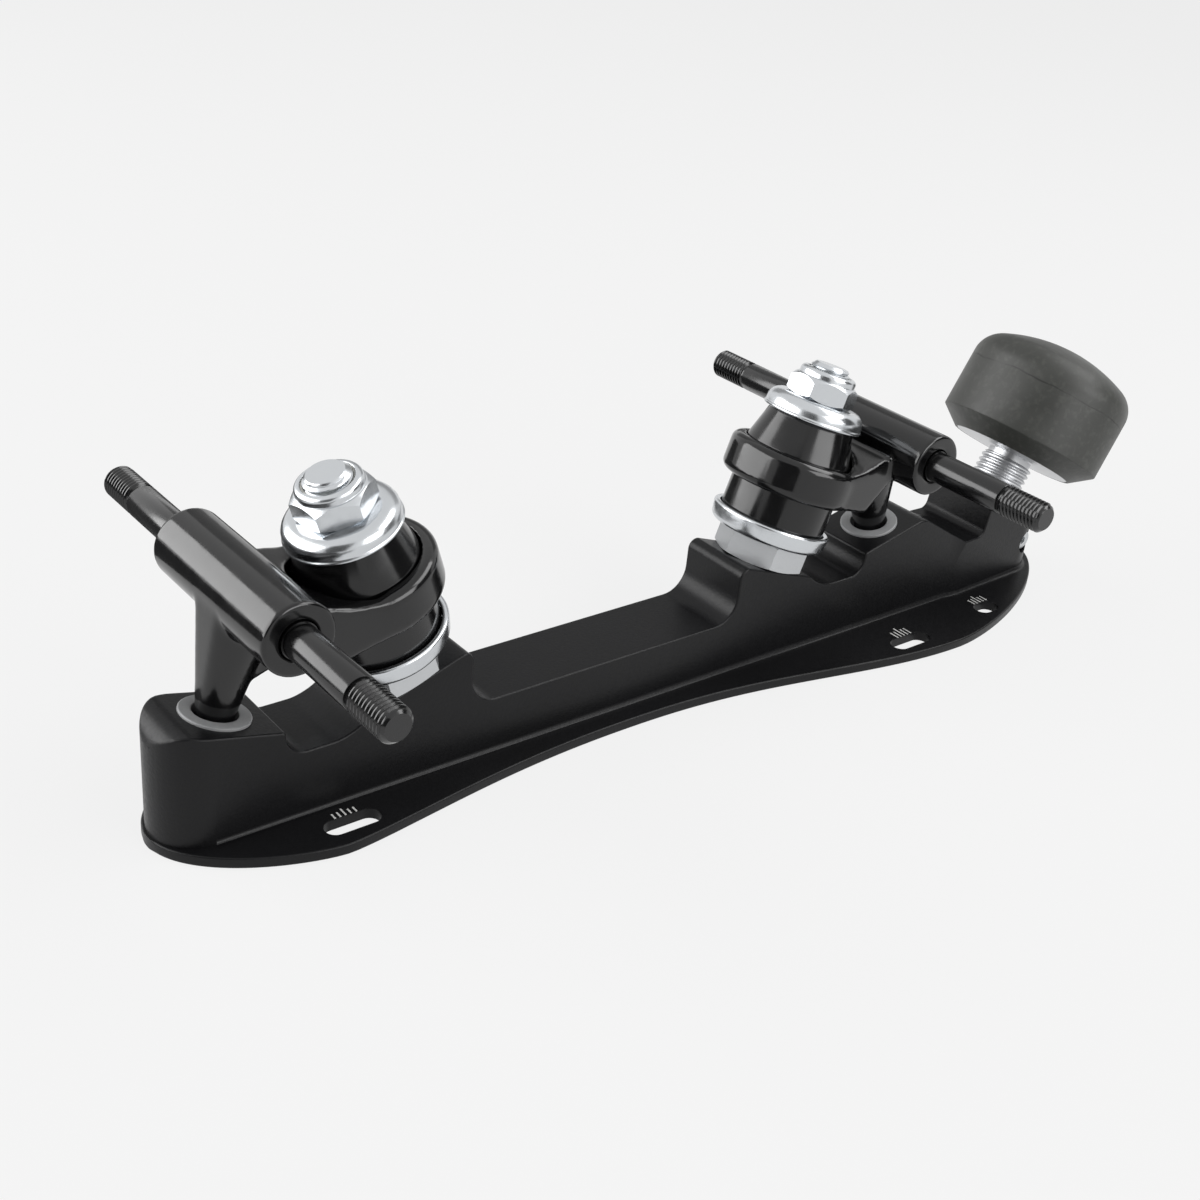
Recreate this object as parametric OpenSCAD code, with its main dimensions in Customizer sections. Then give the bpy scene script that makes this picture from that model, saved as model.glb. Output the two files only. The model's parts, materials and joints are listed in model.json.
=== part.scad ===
// Roller skate plate: an aluminium baseplate with two steering trucks and a toe stop.
// X runs from heel to toe and Z points away from the boot. The origin lies on the boot face,
// on the centre line, midway between the two axles.

/* [Baseplate] */
// Distance between the two axles
wheelbase = 165.1; // [150:0.1:185]
// Width of the rib along the middle of the plate
rib_w = 18.6; // [17:0.1:22]
// Thickness of the flange that lies on the boot
flange_t = 2.4; // [2:0.1:4]
// Width of the flange at the heel
heel_w = 43.8; // [41:0.1:50]
// Width of the flange at the waist
waist_w = 29.3; // [26:0.1:34]
// Width of the flange at the ball of the foot
ball_w = 55.4; // [53:0.1:62]
// Length of the flange behind the rear axle
heel_overhang = 20.4; // [20:0.1:26]
// Height of the low middle of the rib
channel_z = 15.2; // [10:0.1:17]
// Radius at the two ends of the low middle
channel_r = 6; // [2:0.1:8]
// Height of the valleys between the kingpins and the pivots
valley_z = 17; // [13:0.1:18]

/* [Bolt slots] */
// Width of every slot
slot_w = 4.7; // [4.3:0.1:5.4]
// Length of the heel and ball slots
slot_len = 12.2; // [8:0.1:14]
// Length of the toe slots
toe_slot_len = 7.2; // [6:0.1:10]
// Heel slots, inward from the rear axle
heel_slot_in = 14.7; // [10:0.1:20]
// Heel slots, distance from the centre line
heel_slot_y = 15.9; // [15:0.1:17]
// Ball slots, forward from the front axle
ball_slot_out = 3.5; // [0:0.1:8]
// Ball slots, distance from the centre line
ball_slot_y = 21.6; // [18:0.1:23]
// Toe slots, forward from the front axle
toe_slot_out = 34.8; // [30:0.1:36]
// Toe slots, distance from the centre line
toe_slot_y = 19.4; // [17:0.1:20.5]

/* [Kingpins] */
// Diameter of the kingpin's thread
kingpin_d = 9.5; // [8:0.1:10]
// Lean of the kingpin from upright
kingpin_lean = 19; // [14:0.5:22]
// Foot of the kingpin, inward from the axle
kingpin_in = 32.45; // [31:0.05:36]
// Height of the kingpin's seat
kingpin_seat_z = 24.2; // [22:0.1:26]
// Depth of the kingpin's thread in the plate
kingpin_depth = 14; // [8:0.5:16]
// Length of kingpin that shows past its nut
kingpin_tip = 1.5; // [1:0.1:5]
// Radial clearance of a screwed or pressed fit
thread_fit = 0.05; // [0.03:0.01:0.08]

/* [Cushion stack] */
// Width across the flats of the jam nut
base_nut_af = 19; // [17:0.1:22]
// Height of the jam nut
base_nut_h = 6; // [5:0.1:8]
// Thickness of the lower washer
lower_washer_t = 1.5; // [1:0.1:2]
// Thickness of the upper washer
upper_washer_t = 2.2; // [1.6:0.1:3]
// Thickness of the washers' rims
rim_t = 1.5; // [1:0.1:2]
// Depth of the lower washer's rim
lower_rim = 3; // [1:0.1:4]
// Depth of the upper washer's rim
upper_rim = 2.2; // [1:0.1:3]
// Diameter of the lower cushion, and of the upper one's wide end
bushing_d = 25; // [24:0.1:25.4]
// Diameter of the upper cushion's narrow end
bushing_top_d = 20; // [18:0.1:20.4]
// Height of the lower cushion
lower_bushing_h = 13.2; // [12:0.1:16]
// Height of the upper cushion
upper_bushing_h = 13.2; // [11:0.1:15]
// Width across the flats of the lock nut
lock_nut_af = 14.3; // [13.5:0.1:17]
// Height of the lock nut's hexagon
lock_nut_h = 5; // [4.5:0.1:7]
// Height of the lock nut's round collar
collar_h = 1.9; // [1.6:0.1:3]
// Clearance round a cushion
cushion_gap = 0.3; // [0.2:0.05:0.5]

/* [Trucks] */
// Diameter of the axles
axle_d = 7; // [6:0.1:8]
// Length of an axle
axle_len = 106.5; // [96:0.5:120]
// Length of each axle thread
axle_thread = 11.5; // [8:0.5:14]
// Height of the axles over the boot face
axle_z = 49.6; // [48:0.1:52]
// Diameter of the cross barrel
barrel_d = 14.6; // [13.4:0.1:15.4]
// Length of the cross barrel
barrel_len = 43; // [38:0.5:50]
// Wall of the yoke ring round the cushions
ring_wall = 2.9; // [2:0.1:3.6]
// Height of the yoke ring
ring_h = 9.2; // [8:0.1:10]
// Width of the arm between the ring and the stem
arm_w = 26; // [23:0.1:28]
// Thickness of the ring's inner web
eye_t = 3.4; // [2.5:0.1:4]
// Gap round the kingpin where it passes through the ring
eye_gap = 1.75; // [1.3:0.05:2.5]
// Lean of the pivot stem from upright
pivot_lean = 13.5; // [11:0.5:16]
// Height of the pivot cup's seat
pivot_seat_z = 24.8; // [23:0.1:26]
// Diameter of the pivot stem at the barrel
stem_top_d = 17; // [14:0.1:20]
// Diameter of the round tip of the pivot stem
ball_d = 7.6; // [6.6:0.1:8]
// Outer diameter of the pivot cup
cup_d = 14; // [12.5:0.1:15]
// Height that the pivot cup stands proud
cup_proud = 0.6; // [0.3:0.1:1]
// Running clearance of the pivot tip in its cup
pivot_fit = 0.05; // [0.03:0.01:0.08]

/* [Toe stop] */
// Centre of the boss's top, forward from the front axle
boss_out = 52.45; // [50:0.05:54]
// Height of the centre of the boss's top
boss_z = 21.7; // [19:0.1:24]
// Lean of the toe stop from upright
toe_lean = 30; // [25:0.5:34]
// Step from the rib's side out to the toe boss's side
boss_step = 1.1; // [0.5:0.1:2]
// Length of the nose past the centre of the boss
nose_len = 15.2; // [14:0.1:18]
// Length of flange past the nose
nose_gap = 4.35; // [3:0.05:8]
// Diameter of the stem's thread
stop_thread_d = 13.8; // [12:0.1:14.5]
// Length of thread in the boss
stop_grip = 17; // [12:0.5:18]
// Gap between the boss and the stem's disc
stop_gap = 13; // [7:0.1:14]
// Diameter of the stem's disc
stop_disc_d = 32.2; // [26:0.1:34]
// Thickness of the stem's disc
stop_disc_t = 1.2; // [1:0.1:2]
// Greatest diameter of the stopper
stopper_d = 43.8; // [42:0.1:48]
// Height of the stopper
stopper_h = 30.4; // [26:0.1:34]
// Diameter of the clamp screw's thread
clamp_d = 3; // [2.5:0.1:3.5]
// Width of the slit in the nose
slit_w = 1.6; // [1:0.1:2.4]

/* [Hidden] */
$fn = 96;
cut = 0.5;                          // how far a cut runs past the face that it opens
far = 100;                          // longer than any cut right through the plate
black = [0.07, 0.07, 0.08];
gloss_black = [0.05, 0.05, 0.055];
zinc = [0.78, 0.79, 0.8];
cup_grey = [0.55, 0.55, 0.56];
rubber_grey = [0.2, 0.2, 0.19];
alloy = [0.82, 0.83, 0.84];
nylon = [0.88, 0.88, 0.85];

// Places along the plate
axle_x = wheelbase / 2;
kingpin_x = axle_x - kingpin_in;
pivot_x = axle_x + (axle_z - pivot_seat_z) * tan(pivot_lean);
heel_end = axle_x + heel_overhang;
boss_x = axle_x + boss_out;
boss_w = rib_w + 2 * boss_step;
rib_nose = boss_x + nose_len;
toe_end = rib_nose + nose_gap;
heel_gap = 0.5;                     // flange past the rib at the heel
rib_heel = heel_end - heel_gap;

// Heights up the kingpin, from its seat
lower_washer_s = base_nut_h;
lower_bushing_s = lower_washer_s + lower_washer_t;
eye_s = lower_bushing_s + lower_bushing_h;
ring_s = eye_s + eye_t / 2;
upper_bushing_s = eye_s + eye_t;
upper_washer_s = upper_bushing_s + upper_bushing_h;
lock_nut_s = upper_washer_s + upper_washer_t;
nut_turn = 23;                      // how far the lock nut's flats are turned
kingpin_top_s = lock_nut_s + lock_nut_h + collar_h + kingpin_tip;
bore_r = kingpin_d / 2 + thread_fit;
lower_cup_r = bushing_d / 2 + cushion_gap;
upper_cup_r = bushing_top_d / 2 + cushion_gap;
lower_corner = 1.8;                 // rounded outer corners of the two washers
upper_corner = 2.4;
ring_d = 2 * (lower_cup_r + ring_wall);
ring_seat_h = (ring_h - eye_t) / 2;
collar_step = 0.5;                  // step from the lock nut's flats in to its collar
insert_wall = 1.05;                 // nylon ring in the lock nut's collar
insert_r = bore_r + insert_wall;
insert_floor = 0.2;
insert_lip = 0.3;

// Pivot tip and cup, from the cup's seat
ball_depth = ball_d / 2;
ball_lip = 0.1;                     // step from the ball in to the stem
stem_foot_d = ball_d - 2 * ball_lip;
tilt_room = 0.75;                   // room for the stem to tilt in the cup's mouth
cup_floor_t = 1.2;
cup_h = ball_depth + ball_d / 2 + pivot_fit + cup_floor_t;
cup_mouth_r = stem_foot_d / 2 + tilt_room;
grip = 0.3;                         // how much the axle's pressed middle is thicker, on the radius
axle_grip_d = axle_d + 2 * grip;
thread_drop = 0.3;                  // from the seat in to a plain core midway between crest and root

// Toe stop, along its axis from the boss's top
neck_h = 2;
stop_core_d = 14;
stop_core_h = 9;
disc_top = stop_gap + stop_disc_t;
clamp_head_d = 5.5;
clamp_head_h = 2;
clamp_back = 5.9;                   // clamp screw, back from the nose
clamp_drop = 6.2;                   // clamp screw, below the boss's sloping top
clamp_x = rib_nose - clamp_back;
clamp_len = 14;
spot_y = 5.6;
spot_gap = 0.4;                     // gap round the screw's head

// Points of an arc about a centre, from one angle to another
function arc(c, r, from, to, steps = 8) =
    [for (i = [0:steps]) let (a = from + (to - from) * i / steps) c + r * [cos(a), sin(a)]];

// Heights of the two sloping seats at a distance x from the middle of the plate
function kingpin_seat(x) = kingpin_seat_z - (x - kingpin_x) * tan(kingpin_lean);
function pivot_seat(x) = pivot_seat_z + (x - pivot_x) * tan(pivot_lean);
function boss_top(x) = boss_z - (x - boss_x) * tan(toe_lean);

clamp_z = boss_top(clamp_x) - clamp_drop;

// Smooth step from 0 to 1, with its middle moved by a power
function ease(u, power) = (1 - cos(180 * pow(u, power))) / 2;

// Half width of the flange at a place along the plate
heel_lobe_x = -axle_x + 11;
ball_lobe_x = axle_x + 16.5;
function flange_half(x) =
    x < heel_lobe_x ? heel_w / 2 * pow(1 - pow((heel_lobe_x - x) / (heel_end + heel_lobe_x), 1.45), 0.5)
    : x < 0 ? heel_w / 2 - (heel_w - waist_w) / 2 * ease((x - heel_lobe_x) / -heel_lobe_x, 0.7)
    : x < ball_lobe_x ? waist_w / 2 + (ball_w - waist_w) / 2 * ease(x / ball_lobe_x, 1.2)
    : ball_w / 2 * pow(1 - pow((x - ball_lobe_x) / (toe_end - ball_lobe_x), 1.5), 0.625);

// Stations along the flange, closer together at its two ends
flange_steps = 120;
function flange_station(i) =
    (toe_end - heel_end) / 2 - (toe_end + heel_end) / 2 * cos(180 * i / flange_steps);
flange_side = [for (i = [1:flange_steps - 1]) let (x = flange_station(i)) [x, flange_half(x)]];
flange_outline = concat([[-heel_end, 0]], [for (p = flange_side) [p[0], -p[1]]], [[toe_end, 0]],
    [for (i = [len(flange_side) - 1:-1:0]) flange_side[i]]);

// Side view of one half of the rib, from the low middle out to the pivot seat
seat_in_x = kingpin_x - 11.8;
seat_out_x = kingpin_x + 10;
lip_w = 1.9;                        // chamfer at the inner edge of the kingpin's seat
lip_h = 1.4;
wall_x = seat_in_x - lip_w;
valley_in_x = seat_out_x + 4.3;
valley_r = 4.5;
pivot_in_x = pivot_x - 10;
half_profile = concat(
    arc([wall_x - channel_r, channel_z + channel_r], channel_r, -90, 0),
    [[wall_x, kingpin_seat(seat_in_x) - lip_h], [seat_in_x, kingpin_seat(seat_in_x)],
     [seat_out_x, kingpin_seat(seat_out_x)], [valley_in_x, valley_z]],
    arc([pivot_in_x - valley_r, valley_z + valley_r], valley_r, -90, 0),
    [[pivot_in_x, pivot_seat(pivot_in_x)]]);

// Side view of the toe: crest over the pivot, groove, toe boss and nose
crest_r = 6;
crest_x = pivot_x + 8;
crest_c = [crest_x, pivot_seat(crest_x)] + crest_r * [sin(pivot_lean), -cos(pivot_lean)];
groove_fall = 30;
groove_z = 17.5;
groove_x = crest_c[0] + crest_r * sin(groove_fall)
    + (crest_c[1] + crest_r * cos(groove_fall) - groove_z) / tan(groove_fall);
boss_back_x = boss_x - 10.4;
boss_foot_x = boss_back_x - 1.6;
boss_foot_r = 2.2;
toe_profile = concat(arc(crest_c, crest_r, 90 + pivot_lean, 90 - groove_fall), [[groove_x, groove_z]],
    arc([boss_foot_x - boss_foot_r, groove_z + boss_foot_r], boss_foot_r, -90, 0),
    [[boss_back_x, boss_top(boss_back_x)], [rib_nose, boss_top(rib_nose)], [rib_nose, 0]]);

// Side view of the heel: rounded top corner
heel_r = 5;
heel_c = [rib_heel - heel_r, pivot_seat(rib_heel - heel_r) - heel_r / cos(pivot_lean)];
heel_profile = concat(arc(heel_c, heel_r, 90 + pivot_lean, 0), [[rib_heel, 0]]);

function mirrored(points) = [for (i = [len(points) - 1:-1:0]) [-points[i][0], points[i][1]]];
rib_profile = concat(mirrored(heel_profile), mirrored(half_profile), half_profile, toe_profile);

// Draws a piece of the front truck, or its mirror image at the rear
module at_end(end) {
    if (end == "rear") mirror([1, 0, 0]) children();
    else children();
}

// Stands a piece on the kingpin's seat, or at a height s up the kingpin
module on_kingpin(s = 0) {
    translate([kingpin_x, 0, kingpin_seat_z]) rotate([0, kingpin_lean, 0])
        translate([0, 0, s]) children();
}

// Stands a piece on the pivot's seat, along the pivot stem
module on_pivot() {
    translate([pivot_x, 0, pivot_seat_z]) rotate([0, -pivot_lean, 0]) children();
}

// Stands a piece on the toe boss, along the toe stop
module on_boss(s = 0) {
    translate([boss_x, 0, boss_z]) rotate([0, toe_lean, 0]) translate([0, 0, s]) children();
}

// Extrudes a side view across the plate
module across(w) {
    rotate([90, 0, 0]) linear_extrude(w, center = true) children();
}

module hexagon(af, h) {
    cylinder(d = af / cos(30), h = h, $fn = 6);
}

module slot(len, at) {
    for (side = [-1, 1])
        translate([at[0], side * at[1], -cut]) linear_extrude(flange_t + 2 * cut) {
            square([len - slot_w, slot_w], center = true);
            for (end = [-1, 1]) translate([end * (len - slot_w) / 2, 0]) circle(d = slot_w);
        }
}

// Plan of the rib: round heel, straight sides, a little wider at the toe boss, round nose
boss_start_x = boss_x - 24;
boss_wide_x = boss_start_x + 5;
module rib_plan() {
    r = rib_w / 2;
    translate([r - rib_heel, -r]) square([rib_heel + rib_nose - rib_w, rib_w]);
    translate([r - rib_heel, 0]) circle(r);
    translate([rib_nose - r, 0]) circle(r);
    polygon([[boss_start_x, -r], [boss_wide_x, -boss_w / 2], [rib_nose - r, -r],
        [rib_nose - r, r], [boss_wide_x, boss_w / 2], [boss_start_x, r]]);
}

module baseplate() {
    color(black) difference() {
        union() {
            linear_extrude(flange_t) polygon(flange_outline);
            intersection() {
                across(2 * boss_w) polygon(rib_profile);
                linear_extrude(far) rib_plan();
            }
        }
        slot(slot_len, [-axle_x + heel_slot_in, heel_slot_y]);
        slot(slot_len, [axle_x + ball_slot_out, ball_slot_y]);
        slot(toe_slot_len, [axle_x + toe_slot_out, toe_slot_y]);
        for (end = ["rear", "front"]) at_end(end) {
            on_kingpin(-kingpin_depth) cylinder(r = bore_r, h = far);
            on_pivot() translate([0, 0, cup_proud - cup_h]) cylinder(d = cup_d + 2 * thread_fit, h = far);
        }
        on_boss() cylinder(d = stop_thread_d + 2 * thread_fit, h = far, center = true);
        translate([boss_back_x, -slit_w / 2, -cut]) cube([far, slit_w, far]);
        translate([clamp_x, 0, clamp_z]) rotate([90, 0, 0]) {
            cylinder(d = clamp_d + 2 * thread_fit, h = far, center = true);
            translate([0, 0, spot_y]) cylinder(d = clamp_head_d + 2 * spot_gap, h = far);
        }
    }
}

module kingpin(end) {
    chamfer = 0.9;
    r = kingpin_d / 2;
    color(zinc) at_end(end) on_kingpin() rotate_extrude()
        polygon([[0, -kingpin_depth], [r - chamfer, -kingpin_depth], [r, chamfer - kingpin_depth],
            [r, kingpin_top_s - chamfer], [r - chamfer, kingpin_top_s], [0, kingpin_top_s]]);
}

module base_nut(end) {
    color(zinc) at_end(end) on_kingpin() difference() {
        hexagon(base_nut_af, base_nut_h);
        translate([0, 0, -cut]) cylinder(r = bore_r, h = base_nut_h + 2 * cut);
    }
}

// Cup washer with a rounded corner and its rim turned up; the upper one is used upside down
module cup_washer(cup_r, t, rim, corner) {
    r = cup_r + rim_t;
    rotate_extrude() polygon(concat([[bore_r, 0]], arc([r - corner, corner], corner, -90, 0),
        [[r, t + rim], [cup_r, t + rim], [cup_r, t], [bore_r, t]]));
}

module lower_washer(end) {
    color(zinc) at_end(end) on_kingpin(lower_washer_s)
        cup_washer(lower_cup_r, lower_washer_t, lower_rim, lower_corner);
}

module upper_washer(end) {
    color(zinc) at_end(end) on_kingpin(lock_nut_s) mirror([0, 0, 1])
        cup_washer(upper_cup_r, upper_washer_t, upper_rim, upper_corner);
}

module lower_bushing(end) {
    edge = 0.8;
    r = bushing_d / 2;
    color(gloss_black) at_end(end) on_kingpin(lower_bushing_s) rotate_extrude()
        polygon([[bore_r + cushion_gap, 0], [r - edge, 0], [r, edge], [r, lower_bushing_h - edge],
            [r - edge, lower_bushing_h], [bore_r + cushion_gap, lower_bushing_h]]);
}

module upper_bushing(end) {
    edge = 0.8;
    r = bushing_d / 2;
    color(gloss_black) at_end(end) on_kingpin(upper_bushing_s) rotate_extrude()
        polygon([[bore_r + cushion_gap, 0], [r - edge, 0], [r, edge], [r, ring_seat_h],
            [bushing_top_d / 2, upper_bushing_h - upper_rim], [bushing_top_d / 2, upper_bushing_h - edge],
            [bushing_top_d / 2 - edge, upper_bushing_h], [bore_r + cushion_gap, upper_bushing_h]]);
}

module lock_nut(end) {
    color(zinc) at_end(end) on_kingpin(lock_nut_s) difference() {
        union() {
            rotate([0, 0, nut_turn]) hexagon(lock_nut_af, lock_nut_h);
            cylinder(d = lock_nut_af - 2 * collar_step, h = lock_nut_h + collar_h);
        }
        translate([0, 0, -cut]) cylinder(r = bore_r, h = lock_nut_h + collar_h + 2 * cut);
        translate([0, 0, lock_nut_h + insert_floor]) cylinder(r = insert_r, h = collar_h);
    }
}

module nut_insert(end) {
    color(nylon) at_end(end) on_kingpin(lock_nut_s + lock_nut_h + insert_floor) difference() {
        cylinder(r = insert_r, h = collar_h - insert_floor - insert_lip);
        translate([0, 0, -cut]) cylinder(r = bore_r, h = collar_h + 2 * cut);
    }
}

// Cross barrel with its edges broken
module barrel() {
    edge = 0.4;
    r = barrel_d / 2;
    half = barrel_len / 2;
    translate([axle_x, 0, axle_z]) rotate([90, 0, 0]) rotate_extrude()
        polygon([[0, -half], [r - edge, -half], [r, edge - half], [r, half - edge], [r - edge, half],
            [0, half]]);
}

// Pivot stem: round in front view, slimmer in side view, with a ball at its foot
module pivot_stem() {
    top = (axle_z - pivot_seat_z) / cos(pivot_lean);
    back = barrel_d / 2 - 0.2;
    on_pivot() {
        intersection() {
            cylinder(d1 = stem_foot_d, d2 = stem_top_d, h = top);
            across(2 * stem_top_d) polygon([[-stem_foot_d, 0], [stem_foot_d / 2, 0], [back, top],
                [-stem_top_d, top]]);
        }
        translate([0, 0, -ball_depth]) {
            sphere(d = ball_d);
            cylinder(d = stem_foot_d, h = ball_depth);
        }
    }
}

// Yoke ring, and the arm that leaves it at a tangent, rises to the barrel and ties it to the stem
module yoke() {
    edge = 2;
    sunk = 0.3;
    tongue_w = 9;
    r = ring_d / 2;
    half = ring_h / 2;
    rise = (axle_x - kingpin_x) * sin(kingpin_lean) + (axle_z - kingpin_seat_z) * cos(kingpin_lean) - ring_s;
    reach = (axle_x - kingpin_x) * cos(kingpin_lean) - (axle_z - kingpin_seat_z) * sin(kingpin_lean);
    arm_end = reach + 2.4;
    tongue_end = arm_end + 3;
    foot = 0.6 - half;
    top = half - 0.5;
    shoulder_x = reach - barrel_d / 2 + 0.4;
    wall_end = lower_cup_r + 0.7;
    wall_mid = wall_end - 5.5;
    wall_start = wall_mid - 5.5;
    flank = atan2(arm_w / 2, arm_end) + acos(r / norm([arm_end, arm_w / 2]));
    leave_x = (r - sunk) * cos(flank);
    leave_y = (r - sunk) * sin(flank);
    on_kingpin(ring_s) {
        rotate_extrude() {
            translate([0, -half]) square([r - edge, ring_h]);
            translate([0, edge - half]) square([r, ring_h - 2 * edge]);
            for (side = [-1, 1]) translate([r - edge, side * (half - edge)]) circle(edge);
        }
        intersection() {
            translate([0, 0, -ring_h]) linear_extrude(4 * ring_h)
                polygon([[0, 0], [leave_x, -leave_y], [arm_end, -arm_w / 2], [arm_end, arm_w / 2],
                    [leave_x, leave_y]]);
            across(2 * ring_d) polygon([[0, foot], [wall_end + 0.7, foot], [reach, rise - 3.5],
                [reach + 2, rise], [shoulder_x, rise - 2], [wall_end, top + 5.2], [wall_mid, top + 1.9],
                [wall_start, top], [0, top]]);
        }
        across(tongue_w) polygon([[0, foot], [tongue_end, foot], [tongue_end, 0], [reach + 2, rise],
            [wall_end, 0], [0, 0]]);
    }
}

module hanger(end) {
    color(gloss_black) at_end(end) difference() {
        union() {
            barrel();
            pivot_stem();
            yoke();
        }
        on_kingpin(ring_s) {
            cylinder(r = kingpin_d / 2 + eye_gap, h = 2 * ring_h, center = true);
            for (side = [0, 1]) mirror([0, 0, side])
                translate([0, 0, eye_t / 2]) cylinder(r = lower_cup_r, h = upper_bushing_h);
        }
        translate([axle_x, 0, axle_z]) rotate([90, 0, 0])
            cylinder(d = axle_grip_d, h = barrel_len + 2 * cut, center = true);
    }
}

// Axle: a pressed middle in the barrel, a plain seat for the wheel and a threaded end on each side
module axle(end) {
    chamfer = 0.8;
    r = axle_d / 2;
    thread_r = r - thread_drop;
    half = axle_len / 2;
    thread_y = half - axle_thread;
    side = [[axle_grip_d / 2, barrel_len / 2], [r, barrel_len / 2], [r, thread_y], [thread_r, thread_y],
        [thread_r, half - chamfer], [thread_r - chamfer, half], [0, half]];
    color(gloss_black) at_end(end) translate([axle_x, 0, axle_z]) rotate([90, 0, 0]) rotate_extrude()
        polygon(concat([for (i = [len(side) - 1:-1:0]) [side[i][0], -side[i][1]]], side));
}

module pivot_cup(end) {
    color(cup_grey) at_end(end) on_pivot() difference() {
        translate([0, 0, cup_proud - cup_h]) cylinder(d = cup_d, h = cup_h);
        translate([0, 0, -ball_depth]) {
            sphere(d = ball_d + 2 * pivot_fit);
            cylinder(d1 = ball_d + 2 * pivot_fit, r2 = cup_mouth_r, h = ball_depth + cup_proud);
        }
        translate([0, 0, cup_proud - cut]) cylinder(r = cup_mouth_r, h = 2 * cut);
    }
}

module toe_stop_stem() {
    r = stop_thread_d / 2;
    chamfer = 1;
    color(alloy) on_boss() rotate_extrude()
        polygon([[0, -stop_grip], [r - chamfer, -stop_grip], [r, chamfer - stop_grip], [r, stop_gap - neck_h],
            [r - chamfer, stop_gap - neck_h], [r - chamfer, stop_gap], [stop_disc_d / 2, stop_gap],
            [stop_disc_d / 2, disc_top], [stop_core_d / 2, disc_top],
            [stop_core_d / 2, disc_top + stop_core_h], [0, disc_top + stop_core_h]]);
}

// Half section of the stopper: chamfered foot, tapering side, rounded shoulder and domed top
module stopper_section() {
    r = stopper_d / 2;
    foot_r = stop_disc_d / 2 + 0.5;
    foot_h = 4.1;
    side_r = r - 0.1;
    shoulder_r = 7.2;
    dome_r = 42;
    dome_z = stopper_h - dome_r;
    shoulder_x = side_r - shoulder_r;
    shoulder_rise = sqrt(pow(dome_r - shoulder_r, 2) - pow(shoulder_x, 2));
    turn = atan2(shoulder_rise, shoulder_x);
    polygon(concat([[0, 0], [foot_r, 0], [r, foot_h]],
        arc([shoulder_x, dome_z + shoulder_rise], shoulder_r, 0, turn), arc([0, dome_z], dome_r, turn, 90)));
}

module toe_stop_rubber() {
    color(rubber_grey) on_boss(stop_gap) difference() {
        rotate_extrude() stopper_section();
        translate([0, 0, -cut]) cylinder(d = stop_disc_d + 2 * thread_fit, h = stop_disc_t + cut);
        translate([0, 0, stop_disc_t]) cylinder(d = stop_core_d + 2 * thread_fit, h = stop_core_h);
    }
}

module toe_clamp_screw() {
    socket_af = 2;
    socket_depth = 1.2;
    color(zinc) translate([clamp_x, 0, clamp_z]) rotate([90, 0, 0]) difference() {
        union() {
            translate([0, 0, spot_y]) cylinder(d = clamp_head_d, h = clamp_head_h);
            translate([0, 0, spot_y - clamp_len]) cylinder(d = clamp_d, h = clamp_len);
        }
        translate([0, 0, spot_y + clamp_head_h - socket_depth]) hexagon(socket_af, socket_depth + cut);
    }
}

baseplate();
kingpin("rear");  // rear_kingpin
base_nut("rear");  // rear_base_nut
lower_washer("rear");  // rear_lower_washer
lower_bushing("rear");  // rear_lower_bushing
hanger("rear");  // rear_hanger
axle("rear");  // rear_axle
upper_bushing("rear");  // rear_upper_bushing
upper_washer("rear");  // rear_upper_washer
lock_nut("rear");  // rear_lock_nut
nut_insert("rear");  // rear_nut_insert
pivot_cup("rear");  // rear_pivot_cup
kingpin("front");  // front_kingpin
base_nut("front");  // front_base_nut
lower_washer("front");  // front_lower_washer
lower_bushing("front");  // front_lower_bushing
hanger("front");  // front_hanger
axle("front");  // front_axle
upper_bushing("front");  // front_upper_bushing
upper_washer("front");  // front_upper_washer
lock_nut("front");  // front_lock_nut
nut_insert("front");  // front_nut_insert
pivot_cup("front");  // front_pivot_cup
toe_stop_stem();
toe_stop_rubber();
toe_clamp_screw();
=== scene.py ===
import json
import math

import bmesh
import bpy
from mathutils import Matrix, Vector


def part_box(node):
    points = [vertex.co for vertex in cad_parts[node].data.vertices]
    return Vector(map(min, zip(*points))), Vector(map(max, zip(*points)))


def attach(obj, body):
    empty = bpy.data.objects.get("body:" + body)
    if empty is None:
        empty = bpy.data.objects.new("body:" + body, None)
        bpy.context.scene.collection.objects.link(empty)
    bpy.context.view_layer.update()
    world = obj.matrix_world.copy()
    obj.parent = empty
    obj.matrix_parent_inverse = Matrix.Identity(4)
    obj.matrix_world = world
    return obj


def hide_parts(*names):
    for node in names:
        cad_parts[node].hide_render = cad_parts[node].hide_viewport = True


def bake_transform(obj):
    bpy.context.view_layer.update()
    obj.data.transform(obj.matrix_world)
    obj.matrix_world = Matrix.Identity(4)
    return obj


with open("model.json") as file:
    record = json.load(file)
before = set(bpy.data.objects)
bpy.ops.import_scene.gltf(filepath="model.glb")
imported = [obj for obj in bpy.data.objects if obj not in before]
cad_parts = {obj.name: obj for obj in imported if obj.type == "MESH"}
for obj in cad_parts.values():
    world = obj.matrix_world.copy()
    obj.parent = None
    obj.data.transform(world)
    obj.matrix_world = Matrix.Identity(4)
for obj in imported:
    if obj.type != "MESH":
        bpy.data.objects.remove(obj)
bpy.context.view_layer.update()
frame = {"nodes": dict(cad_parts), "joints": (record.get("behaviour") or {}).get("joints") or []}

# Base plate: one bar of aluminium, machined to a flange with a tall rib along its middle, then blasted
# with fine grit and anodised satin black. A boot is bolted on through the six slots of its flange.
MM = 0.001
FLANGE_T = 2.4
FOOT_FILLET = 1.2
# The rib's foot is left sharp over this stretch at the heel, where the flange is too narrow for a fillet
SHARP_HEEL = 9
RIB_EDGE = 0.5
# Edges above this height belong to the rib's top
RIB_TOP_LOW = 15
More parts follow.
